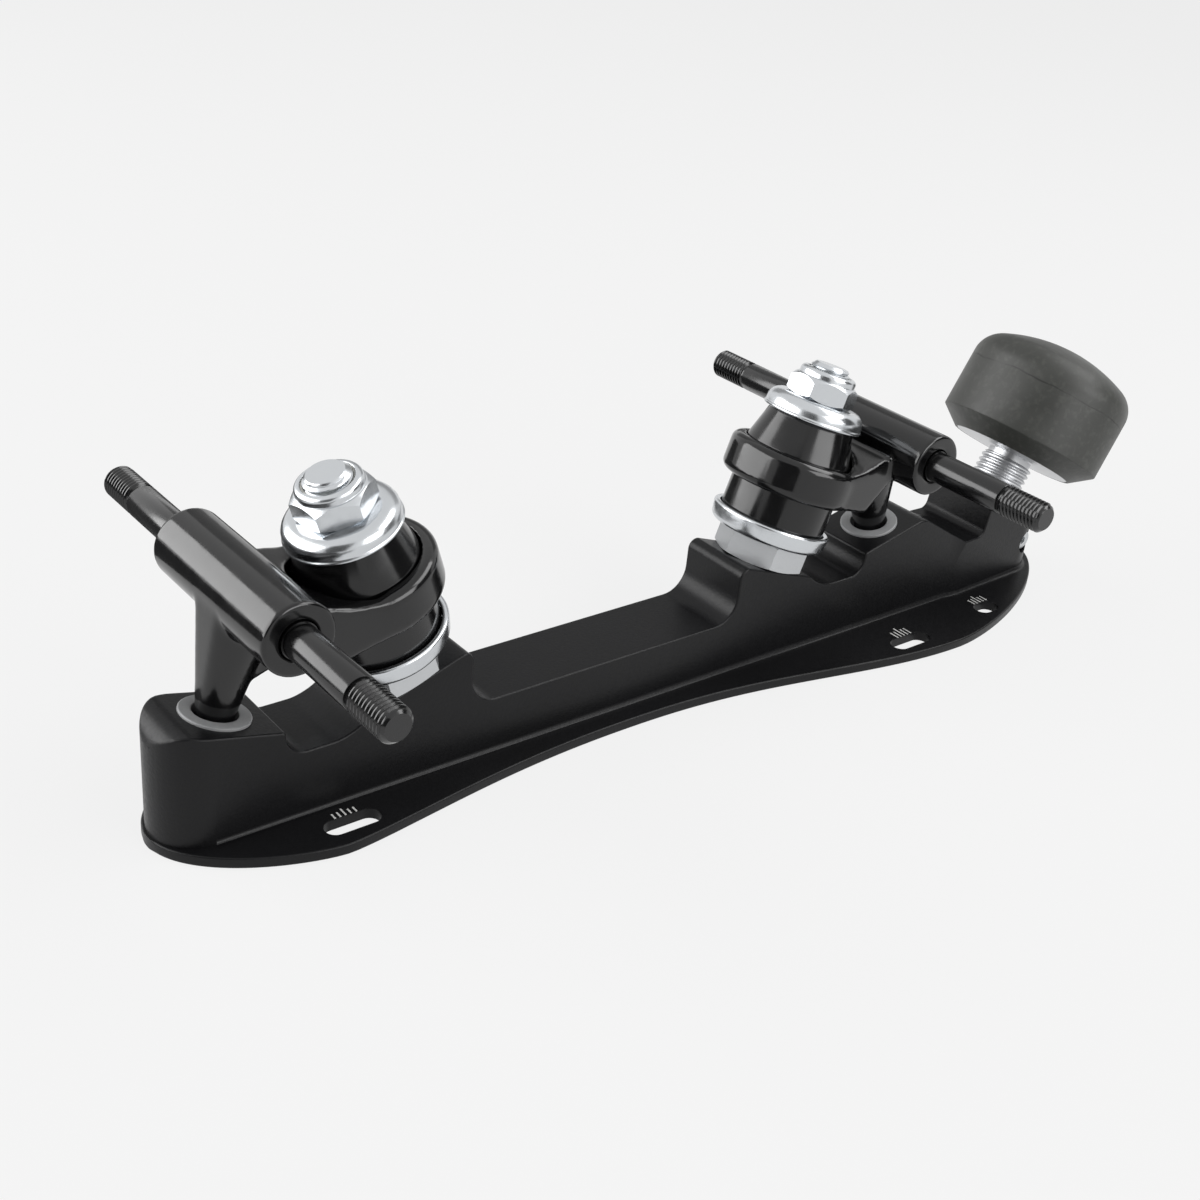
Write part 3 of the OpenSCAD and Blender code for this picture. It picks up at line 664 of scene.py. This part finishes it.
# Black oxide on ground steel: a dark skin with a soft mirror, broken by the faint unevenness of the
# grinding, drawn 0.5 mm wide.
black_oxide = new_material("polished_black_oxide_steel")
place = add_node(black_oxide, "TexCoord").outputs["Object"]
ground = add_node(black_oxide, "TexNoise", {"Vector": place, "Scale": 1 / (0.5 * MM), "Detail": 3})
gloss = add_node(black_oxide, "MapRange", {"Value": ground.outputs["Fac"], "From Min": 0.3, "From Max": 0.7,
                                           "To Min": 0.14, "To Max": 0.22})
shader = add_node(black_oxide, "BsdfPrincipled", {"Base Color": linear("#0c0c0d"), "IOR": 1.58,
                                                 "Roughness": gloss.outputs["Result"]})
add_node(black_oxide, "OutputMaterial", {"Surface": shader.outputs["BSDF"]})

for end in ENDS:
    axle_low, axle_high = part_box(end + "_axle")
    rod = threaded(AXLE_R, AXLE_ROOT, AXLE_PITCH, AXLE_THREAD_Y, AXLE_HALF, AXLE_CHAMFER)
    neck = [(AXLE_NECK_R, AXLE_THREAD_Y - AXLE_NECK_RISE), (AXLE_NECK_R, AXLE_SEAT_Y)]
    seat = [(AXLE_R - inward, AXLE_SEAT_Y - along) for inward, along in SEAT_BREAKS]
    grip = [(AXLE_R, AXLE_GRIP_Y), (AXLE_GRIP_R, AXLE_GRIP_Y), (AXLE_GRIP_R, 0)]
    carry_on(rod, loop_at(rod, AXLE_THREAD_Y), neck + seat + grip)
    copy = bmesh.ops.duplicate(rod, geom=rod.verts[:] + rod.edges[:] + rod.faces[:])["geom"]
    bmesh.ops.rotate(rod, cent=(0, 0, 0), matrix=Matrix.Rotation(math.pi, 3, "X"),
                     verts=[part for part in copy if isinstance(part, bmesh.types.BMVert)])
    bmesh.ops.bridge_loops(rod, edges=loop_at(rod, 0))
    middle = (axle_low + axle_high) / 2 / MM
    lay = Matrix.Translation(middle) @ Matrix.Rotation(math.pi / 2, 4, "X")
    axle = make_piece(end + "_axle_rod", rod, black_oxide, lay)
    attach(axle, end + "_truck")
    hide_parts(end + "_axle")

# Upper cushions: solid cast urethane cones between the hanger's ring and the upper washer. Each is drawn in
# two lengths: the cone, and the crown inside the washer.
UPPER_CUSHION_S = (24.1, 37.3)
UPPER_SEAT = 2.9
UPPER_TOP_R = 10
UPPER_TOP_H = 2.2
CROWN_S = 35.4
for end in ENDS:
    low, high = UPPER_CUSHION_S
    section = rounded([(CUSHION_BORE_R, low, BORE_EDGE), (CUSHION_R, low, CUSHION_EDGE),
                       (CUSHION_R, low + UPPER_SEAT, 0.8), (UPPER_TOP_R, high - UPPER_TOP_H, 1.5),
                       (UPPER_TOP_R, CROWN_S, 0), (CUSHION_BORE_R, CROWN_S, 0)])
    cone = turned(section)
    cut_walls(cone, least=3, cuts=9)
    cushion = make_piece(end + "_upper_cushion", cone, urethane, KINGPIN_STAND[end])
    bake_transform(cushion)
    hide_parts(end + "_upper_bushing")
    section = rounded([(CUSHION_BORE_R, CROWN_S, 0), (UPPER_TOP_R, CROWN_S, 0),
                       (UPPER_TOP_R, high, CUSHION_EDGE), (CUSHION_BORE_R, high, BORE_EDGE)])
    crown = make_piece(end + "_cushion_crown", turned(section), urethane, KINGPIN_STAND[end])
    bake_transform(crown)
    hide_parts(end + "_upper_bushing")

# Upper washers: pressed steel caps, polished and chrome plated, that press down on the upper cushions.
# Each has a wide rounded shoulder and a rim that ends in a small rolled lip.
UPPER_WASHER_S = 39.5
UPPER_R = 11.8
UPPER_CUP_R = 10.3
UPPER_T = 2.2
UPPER_H = 4.4
UPPER_SHOULDER = 2.8
LIP = 0.25
LIP_H = 0.6
LIP_RISE = 0.3

# Polished chrome: a clear pale mirror with slight polishing waves, drawn 4 mm wide.
chrome = new_material("polished_chrome_plate")
place = add_node(chrome, "TexCoord").outputs["Object"]
waves = add_node(chrome, "TexNoise", {"Vector": place, "Scale": 1 / (4 * MM), "Detail": 3})
gloss = add_node(chrome, "MapRange", {"Value": waves.outputs["Fac"], "From Min": 0.3, "From Max": 0.7,
                                      "To Min": 0.17, "To Max": 0.27})
bumps = add_node(chrome, "Bump", {"Height": waves.outputs["Fac"], "Strength": 0.12, "Distance": 0.15 * MM})
shader = add_node(chrome, "BsdfPrincipled", {"Base Color": linear("#cccfd2"), "Metallic": 1,
                                            "Roughness": gloss.outputs["Result"],
                                            "Normal": bumps.outputs["Normal"]})
add_node(chrome, "OutputMaterial", {"Surface": shader.outputs["BSDF"]})

for end in ENDS:
    section = rounded([(KINGPIN_BORE_R, 0, 0.2), (UPPER_R - LIP, 0, UPPER_SHOULDER),
                       (UPPER_R - LIP, LIP_H + LIP_RISE - UPPER_H, 0.3), (UPPER_R, LIP_H - UPPER_H, 0.2),
                       (UPPER_R, -UPPER_H, 0.4), (UPPER_CUP_R, -UPPER_H, 0.4),
                       (UPPER_CUP_R, -UPPER_T, 0.25), (KINGPIN_BORE_R, -UPPER_T, 0.2)])
    cap = turned(section)
    washer = make_piece(end + "_upper_cap", cap, chrome,
                        KINGPIN_STAND[end] @ Matrix.Translation((0, 0, UPPER_WASHER_S)))
    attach(washer, end + "_washer")
    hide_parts(end + "_upper_washer")

# Lock nuts: hexagon nuts with a rounded collar rolled over a nylon ring, which keeps them from working
# loose. They are bright zinc plated, and turning them sets how firmly the cushions are squeezed.
NUT_AF = 14.3
NUT_H = 5
COLLAR_R = 6.65
COLLAR_H = 1.9
NUT_TURN = 23
NUT_BORE_BREAK = 0.4
NUT_CHAMFER = 0.9
NUT_SHOULDER = 1.4
COLLAR_ROOT = 0.35
COLLAR_ROUND = 1.1
COLLAR_MOUTH_R = 5.25
INSERT_R = 5.85
INSERT_FLOOR = 0.2
INSERT_LIP = 0.3
for end, mirror in zip(ENDS, (-1, 1)):
    blank_r = corner_r(NUT_AF) + CORNER_SPARE
    top = NUT_H + COLLAR_H
    hexagon = [(KINGPIN_BORE_R, NUT_BORE_BREAK, 0), (KINGPIN_BORE_R + NUT_BORE_BREAK, 0, 0),
               (NUT_AF / 2 - FACE_INSET, 0, 0.1), (blank_r, NUT_CHAMFER, 0.2),
               (blank_r, NUT_H - NUT_SHOULDER, 1.0), (COLLAR_R + COLLAR_ROOT, NUT_H - 0.1, 0.15)]
    collar = [(COLLAR_R, NUT_H, 0.1), (COLLAR_R, top, COLLAR_ROUND), (COLLAR_MOUTH_R, top, 0.2),
              (COLLAR_MOUTH_R, top - INSERT_LIP, 0)]
    groove = [(INSERT_R, top - INSERT_LIP, 0), (INSERT_R, NUT_H + INSERT_FLOOR, 0),
              (KINGPIN_BORE_R, NUT_H + INSERT_FLOOR, 0)]
    blank = turned(rounded(hexagon + collar + groove))
    cut_hexagon(blank, NUT_AF, mirror * NUT_TURN)
    nut = make_piece(end + "_lock_nut_body", blank, zinc,
                     KINGPIN_STAND[end] @ Matrix.Translation((0, 0, UPPER_WASHER_S)), crease=20)
    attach(nut, end + "_nut")
    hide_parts(end + "_lock_nut")

# Nylon rings: off-white plastic rings, turned from tube and held in the collars of the lock nuts by the
# rolled lip. They grip the kingpin's thread.
NYLON_GAP = 0.02

# Natural nylon: a waxy off-white, faintly mottled in patches 0.8 mm wide.
natural_nylon = new_material("natural_nylon")
place = add_node(natural_nylon, "TexCoord").outputs["Object"]
wax = add_node(natural_nylon, "TexNoise", {"Vector": place, "Scale": 1 / (0.8 * MM), "Detail": 2})
tone = add_node(natural_nylon, "Mix", {0: wax.outputs["Fac"], 6: linear("#d9d8d0"), 7: linear("#e6e5de")},
                data_type="RGBA")
shader = add_node(natural_nylon, "BsdfPrincipled", {"Base Color": tone.outputs[2], "Roughness": 0.4,
                                                   "IOR": 1.53})
add_node(natural_nylon, "OutputMaterial", {"Surface": shader.outputs["BSDF"]})

for end in ENDS:
    low = UPPER_WASHER_S + NUT_H + INSERT_FLOOR
    high = UPPER_WASHER_S + NUT_H + COLLAR_H - INSERT_LIP
    section = rounded([(KINGPIN_BORE_R, low, 0.1), (INSERT_R - NYLON_GAP, low, 0.1),
                       (INSERT_R - NYLON_GAP, high, 0.1), (KINGPIN_BORE_R, high, 0.2)])
    ring = make_piece(end + "_nylon_ring", turned(section), natural_nylon, KINGPIN_STAND[end])
    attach(ring, end + "_nut")
    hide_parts(end + "_nut_insert")

# Toe stop stem: an aluminium screw turned with a coarse thread, a plain neck and a thin disc, on which
# the rubber stopper is moulded. It screws into the boss at the toe, which sets the stopper's height.
STEM_R = 6.9
STEM_ROOT = 6.2
STEM_PITCH = 1.5
STEM_FOOT_S = -17
STEM_CHAMFER = 1.0
STEM_NECK_S = 11
STEM_NECK_R = 5.9
STEM_NECK_FILLET = 0.3
STEM_DISC_S = 13
STEM_DISC_T = 1.2
STEM_DISC_R = 16.1
STEM_DISC_BREAK = 0.2
STEM_CORE_R = 7
STEM_CORE_H = 9

# Turned aluminium, left bare: a bright pale metal with the faint unevenness of the cut, drawn 0.4 mm wide.
bare_aluminium = new_material("turned_bare_aluminium")
place = add_node(bare_aluminium, "TexCoord").outputs["Object"]
cuts = add_node(bare_aluminium, "TexNoise", {"Vector": place, "Scale": 1 / (0.4 * MM), "Detail": 3})
gloss = add_node(bare_aluminium, "MapRange", {"Value": cuts.outputs["Fac"], "From Min": 0.3, "From Max": 0.7,
                                              "To Min": 0.3, "To Max": 0.36})
shader = add_node(bare_aluminium, "BsdfPrincipled", {"Base Color": linear("#c6c7c9"), "Metallic": 1,
                                                    "Roughness": gloss.outputs["Result"]})
add_node(bare_aluminium, "OutputMaterial", {"Surface": shader.outputs["BSDF"]})

STOP_STAND = stand_on(STOP_FOOT, STOP_AXIS)
# The thread is drawn from its far end, so that its closed end is the stem's foot
screw = threaded(STEM_R, STEM_ROOT, STEM_PITCH, -STEM_NECK_S, -STEM_FOOT_S, STEM_CHAMFER)
disc_back = -STEM_DISC_S - STEM_DISC_T
neck = [(STEM_NECK_R, -STEM_NECK_S - STEM_NECK_FILLET), (STEM_NECK_R, -STEM_DISC_S + STEM_NECK_FILLET),
        (STEM_NECK_R + STEM_NECK_FILLET, -STEM_DISC_S)]
disc = [(STEM_DISC_R - STEM_DISC_BREAK, -STEM_DISC_S), (STEM_DISC_R, -STEM_DISC_S - STEM_DISC_BREAK),
        (STEM_DISC_R, disc_back)]
core = [(STEM_CORE_R, disc_back), (STEM_CORE_R, disc_back - STEM_CORE_H)]
last = carry_on(screw, loop_at(screw, -STEM_NECK_S), neck + disc + core)
bmesh.ops.edgeloop_fill(screw, edges=last)
stem = make_piece("stop_stem_screw", screw, bare_aluminium, STOP_STAND @ Matrix.Rotation(math.pi, 4, "X"))
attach(stem, "stem")
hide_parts("toe_stop_stem")

# Toe stop: a stopper of solid grey rubber, moulded flush round the stem's disc in a two-part mould, whose
# halves leave a wavering seam. It has a bevelled foot, a straight side and a domed top, worn away in use.
STOPPER_R = 21.88
STOPPER_H = 30.36
STOPPER_FOOT_R = 16.6
STOPPER_FOOT_H = 4.1
STOPPER_SIDE_R = 21.78
STOPPER_SHOULDER = 7.2
STOPPER_DOME_R = 42
STEM_GAP = 0.05
SEAM_S = 31.1
SEAM_WAVER = 0.5

# Moulded rubber: a dark olive grey with a dry sheen. Mould release clouds it in patches 9 mm wide, and dust
# flecks it in spots 1.6 mm wide. The seam is a fine groove in the bump, and its shade is painted in as a
# dark hairline that wavers and fades, drawn 0.35 mm wide.
rubber = new_material("moulded_grey_rubber")
place = add_node(rubber, "TexCoord").outputs["Object"]
bloom = add_node(rubber, "TexNoise", {"Vector": place, "Scale": 1 / (9 * MM), "Detail": 5})
grit = add_node(rubber, "TexNoise", {"Vector": place, "Scale": 1 / (0.5 * MM), "Detail": 3})
tone = add_node(rubber, "Mix", {0: bloom.outputs["Fac"], 6: linear("#282926"), 7: linear("#3c3d3a")},
                data_type="RGBA")
fleck = add_node(rubber, "TexNoise", {"Vector": place, "Scale": 1 / (1.6 * MM), "Detail": 5})
dust = add_node(rubber, "MapRange", {"Value": fleck.outputs["Fac"], "From Min": 0.5, "From Max": 0.75,
                                     "To Min": 0, "To Max": 0.3})
tone = add_node(rubber, "Mix", {0: dust.outputs["Result"], 6: tone.outputs[2], 7: linear("#5e5f5a")},
                data_type="RGBA")
gloss = add_node(rubber, "MapRange", {"Value": bloom.outputs["Fac"], "From Min": 0.3, "From Max": 0.7,
                                      "To Min": 0.4, "To Max": 0.56})
along = add_node(rubber, "VectorMath", {0: place, 1: STOP_AXIS}, operation="DOT_PRODUCT")
drift = add_node(rubber, "TexNoise", {"Vector": place, "Scale": 1 / (11 * MM), "Detail": 2})
seam_at = SEAM_S + STOP_AXIS.dot(STOP_FOOT)
waver = add_node(rubber, "MapRange", {"Value": drift.outputs["Fac"], "From Min": 0.3, "From Max": 0.7,
                                      "To Min": (seam_at - SEAM_WAVER) * MM,
                                      "To Max": (seam_at + SEAM_WAVER) * MM})
away = add_node(rubber, "Math", {0: along.outputs["Value"], 1: waver.outputs["Result"]},
                operation="SUBTRACT")
away = add_node(rubber, "Math", {0: away.outputs[0]}, operation="ABSOLUTE")
hairline = add_node(rubber, "MapRange", {"Value": away.outputs[0], "From Min": 0.05 * MM,
                                         "From Max": 0.3 * MM, "To Min": 1, "To Max": 0},
                    interpolation_type="SMOOTHSTEP")
fade = add_node(rubber, "MapRange", {"Value": bloom.outputs["Fac"], "From Min": 0.4, "From Max": 0.55,
                                     "To Min": 0.2, "To Max": 1})
# Mask of the seam: it dents the bump as a groove and darkens the colour with painted shade
seam_groove_and_shade = add_node(rubber, "Math", {0: hairline.outputs["Result"], 1: fade.outputs["Result"]},
                operation="MULTIPLY")
# Painted shade: the seam's groove is darkened in the colour as well as dented in the bump
tone = add_node(rubber, "Mix", {0: seam_groove_and_shade.outputs[0], 6: tone.outputs[2], 7: linear("#161614")},
                data_type="RGBA")
height = add_node(rubber, "Math", {0: grit.outputs["Fac"], 1: seam_groove_and_shade.outputs[0]}, operation="SUBTRACT")
bumps = add_node(rubber, "Bump", {"Height": height.outputs[0], "Strength": 0.2, "Distance": 0.05 * MM})
shader = add_node(rubber, "BsdfPrincipled", {"Base Color": tone.outputs[2], "IOR": 1.5,
                                            "Roughness": gloss.outputs["Result"],
                                            "Normal": bumps.outputs["Normal"]})
add_node(rubber, "OutputMaterial", {"Surface": shader.outputs["BSDF"]})

dome_z = STOPPER_H - STOPPER_DOME_R
shoulder_x = STOPPER_SIDE_R - STOPPER_SHOULDER
shoulder_rise = math.sqrt((STOPPER_DOME_R - STOPPER_SHOULDER) ** 2 - shoulder_x ** 2)
shoulder_turn = math.degrees(math.atan2(shoulder_rise, shoulder_x))
shoulder_z = dome_z + shoulder_rise
core_top = STEM_DISC_T + STEM_CORE_H
core_r = STEM_CORE_R + STEM_GAP
disc_r = STEM_DISC_R + STEM_GAP
foot = rounded([(core_r, core_top, 0), (core_r, STEM_DISC_T, 0), (disc_r, STEM_DISC_T, 0), (disc_r, 0, 0),
                (STOPPER_FOOT_R, 0, 0.2), (STOPPER_R, STOPPER_FOOT_H, 0.5),
                (STOPPER_SIDE_R, shoulder_z, 0)])[:-1]
body = foot + arc((shoulder_x, shoulder_z), STOPPER_SHOULDER, 0, shoulder_turn, 12)
body += arc((0, dome_z), STOPPER_DOME_R, shoulder_turn, 90, 16)[1:] + [(0, core_top)]
stopper = make_piece("stop_rubber", turned(body, steps=128), rubber,
                     STOP_STAND @ Matrix.Translation((0, 0, STEM_DISC_S)))
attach(stopper, "stopper")
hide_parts("toe_stop_rubber")

# Clamp screw: a small socket-head screw across the slit nose of the plate. Tightening it closes the slit
# and grips the stem's thread. It is tumbled and zinc plated.
HEAD_R = 2.75
HEAD_H = 2
HEAD_ROUND = 0.35
HEAD_SEAT_Y = 5.6
SOCKET_AF = 2
SOCKET_DEPTH = 1.2
CLAMP_R = 1.5
CLAMP_LEN = 14
CLAMP_CHAMFER = 0.4
cap = bmesh.new()
top = HEAD_SEAT_Y + HEAD_H
bmesh.ops.create_circle(cap, segments=48, radius=HEAD_R - HEAD_ROUND, matrix=Matrix.Translation((0, 0, top)))
outer = cap.edges[:]
bmesh.ops.create_circle(cap, segments=6, radius=corner_r(SOCKET_AF), matrix=Matrix.Translation((0, 0, top)))
inner = [edge for edge in cap.edges if edge not in outer]
walls = bmesh.ops.extrude_edge_only(cap, edges=inner)["geom"]
sunk = [part for part in walls if isinstance(part, bmesh.types.BMVert)]
bmesh.ops.translate(cap, vec=(0, 0, -SOCKET_DEPTH), verts=sunk)
bmesh.ops.edgeloop_fill(cap, edges=loop_at(cap, top - SOCKET_DEPTH))
tip = HEAD_SEAT_Y - CLAMP_LEN
last = carry_on(cap, outer, [(HEAD_R - 0.1, top - 0.1), (HEAD_R, top - HEAD_ROUND), (HEAD_R, HEAD_SEAT_Y),
                             (CLAMP_R, HEAD_SEAT_Y), (CLAMP_R, tip + CLAMP_CHAMFER),
                             (CLAMP_R - CLAMP_CHAMFER, tip)])
bmesh.ops.edgeloop_fill(cap, edges=last)
bmesh.ops.triangle_fill(cap, edges=loop_at(cap, top), use_beauty=True)
clamp = make_piece("clamp_cap_screw", cap, dull_zinc,
                   Matrix.Translation(CLAMP_FOOT) @ Matrix.Rotation(math.pi / 2, 4, "X"), crease=25)
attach(clamp, "clamp_screw")
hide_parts("toe_clamp_screw")

# Stage: a wide pale floor under a pale sky, three softboxes, and grey cards that only reflections see.
# The floor glows in its own pale colour, and a tenth of its look takes the light and the object's shadow.
PALE = "#f5f5f5"
FLOOR_HALF = 4
FLOOR_DROP = 0.02
FLOOR_GLOW = 0.9
SKY_LIGHT = 0.15
AIM = (0, 0, 0.03)


def seen_directly(material):
    """Gives 1 to the camera, mirrors and glass, and 0 to the light that falls on the object."""
    path = add_node(material, "LightPath")
    seen = add_node(material, "Math", {0: path.outputs["Is Camera Ray"], 1: path.outputs["Is Glossy Ray"]},
                    operation="MAXIMUM")
    seen = add_node(material, "Math", {0: seen.outputs[0], 1: path.outputs["Is Transmission Ray"]},
                    operation="MAXIMUM")
    return seen.outputs[0]


# Pale studio floor: it glows evenly to the eye, keeps a soft shadow, and is clear from below.
floor_tone = new_material("pale_studio_floor")
share = add_node(floor_tone, "Math", {0: seen_directly(floor_tone), 1: FLOOR_GLOW}, operation="MULTIPLY")
matte = add_node(floor_tone, "BsdfDiffuse", {"Color": linear(PALE)})
glow = add_node(floor_tone, "Emission", {"Color": linear(PALE), "Strength": 1})
mixed = add_node(floor_tone, "MixShader", {0: share.outputs[0], 1: matte.outputs[0], 2: glow.outputs[0]})
clear = add_node(floor_tone, "BsdfTransparent")
facing = add_node(floor_tone, "NewGeometry")
sided = add_node(floor_tone, "MixShader", {0: facing.outputs["Backfacing"], 1: mixed.outputs[0],
                                           2: clear.outputs[0]})
add_node(floor_tone, "OutputMaterial", {"Surface": sided.outputs[0]})
sheet = bmesh.new()
bmesh.ops.create_grid(sheet, x_segments=2, y_segments=2, size=FLOOR_HALF)
bmesh.ops.translate(sheet, vec=(0, 0, -FLOOR_DROP * MM), verts=sheet.verts)
floor = add_object("studio_floor", sheet, floor_tone)

sky = bpy.data.worlds.new("pale_studio")
bpy.context.scene.world = sky
sky.use_nodes = True
sky.node_tree.nodes.clear()
level = add_node(sky, "MapRange", {"Value": seen_directly(sky), "To Min": SKY_LIGHT, "To Max": 1.0})
glow = add_node(sky, "Background", {"Color": linear(PALE), "Strength": level.outputs["Result"]})
add_node(sky, "OutputWorld", {"Surface": glow.outputs[0]})

# Where each softbox stands, in metres, its two sides, and its power in watts
SOFTBOXES = {"heel_softbox": ((-0.79, 0.49, 0.375), (1.3, 0.7), 12),
             "near_softbox": ((0.275, -0.958, 0.465), (0.75, 0.6), 5.7),
             "toe_softbox": ((0.606, -0.283, 0.743), (0.7, 0.45), 4.2)}
for name, (at, sides, power) in SOFTBOXES.items():
    lamp = bpy.data.lights.new(name, "AREA")
    lamp.shape = "RECTANGLE"
    lamp.size, lamp.size_y = sides
    lamp.energy = power
    box = bpy.data.objects.new(name, lamp)
    box.location = at
    box.rotation_euler = (Vector(AIM) - Vector(at)).to_track_quat("-Z", "Y").to_euler()
    bpy.context.scene.collection.objects.link(box)

# Grey cards: where each stands, in metres, its two sides, the point that it faces, and its grey
CARDS = {"camera_card": ((-0.95, -0.72, 0.45), (0.9, 1.0), AIM, "#585858"),
         "toe_card": ((0.95, -0.65, 0.4), (0.9, 0.8), AIM, "#585858"),
         "back_card": ((0.618, 0.663, 0.423), (0.95, 0.5), AIM, "#a4a4a4"),
         "floor_card": ((-0.42, 0.43, 0.0005), (1.0, 0.66), (-0.42, 0.43, 1), "#585858")}
for name, (at, sides, faced, grey) in CARDS.items():
    card_tone = new_material(name)
    glow = add_node(card_tone, "Emission", {"Color": linear(grey)})
    add_node(card_tone, "OutputMaterial", {"Surface": glow.outputs[0]})
    sheet = bmesh.new()
    bmesh.ops.create_grid(sheet, x_segments=1, y_segments=1, size=0.5)
    bmesh.ops.scale(sheet, vec=(sides[0], sides[1], 1), verts=sheet.verts)
    turn = (Vector(faced) - Vector(at)).to_track_quat("Z", "Y").to_matrix().to_4x4()
    bmesh.ops.transform(sheet, matrix=Matrix.Translation(at) @ turn, verts=sheet.verts)
    card = add_object(name, sheet, card_tone)
    card.visible_camera = False
    card.visible_diffuse = False
    card.visible_shadow = False

# Camera: stands behind the heel at the near side and looks down along the plate, as the photograph does.
# Its lens is given by its focal length in pixels of the photograph.
CAMERA_AT = Vector((-202.803, -237.609, 192.247)) * MM
YAW = math.radians(40.91)
PITCH = math.radians(28.01)
ROLL = math.radians(5.81)
FOCAL_PIXELS = 1629.66
FRAME_PIXELS = 1200
ahead = Vector((math.sin(YAW) * math.cos(PITCH), math.cos(YAW) * math.cos(PITCH), -math.sin(PITCH)))
level = Vector((math.cos(YAW), -math.sin(YAW), 0))
upward = level.cross(ahead)
right = math.cos(ROLL) * level + math.sin(ROLL) * upward
up = math.cos(ROLL) * upward - math.sin(ROLL) * level
lens = bpy.data.cameras.new("photo_camera")
lens.sensor_width = 36
lens.lens = lens.sensor_width * FOCAL_PIXELS / FRAME_PIXELS
lens.clip_start = 0.01
camera = bpy.data.objects.new("photo_camera", lens)
camera.matrix_world = Matrix.Translation(CAMERA_AT) @ Matrix((right, up, -ahead)).transposed().to_4x4()
bpy.context.scene.collection.objects.link(camera)
bpy.context.scene.camera = camera
bpy.context.scene.view_settings.view_transform = "Standard"
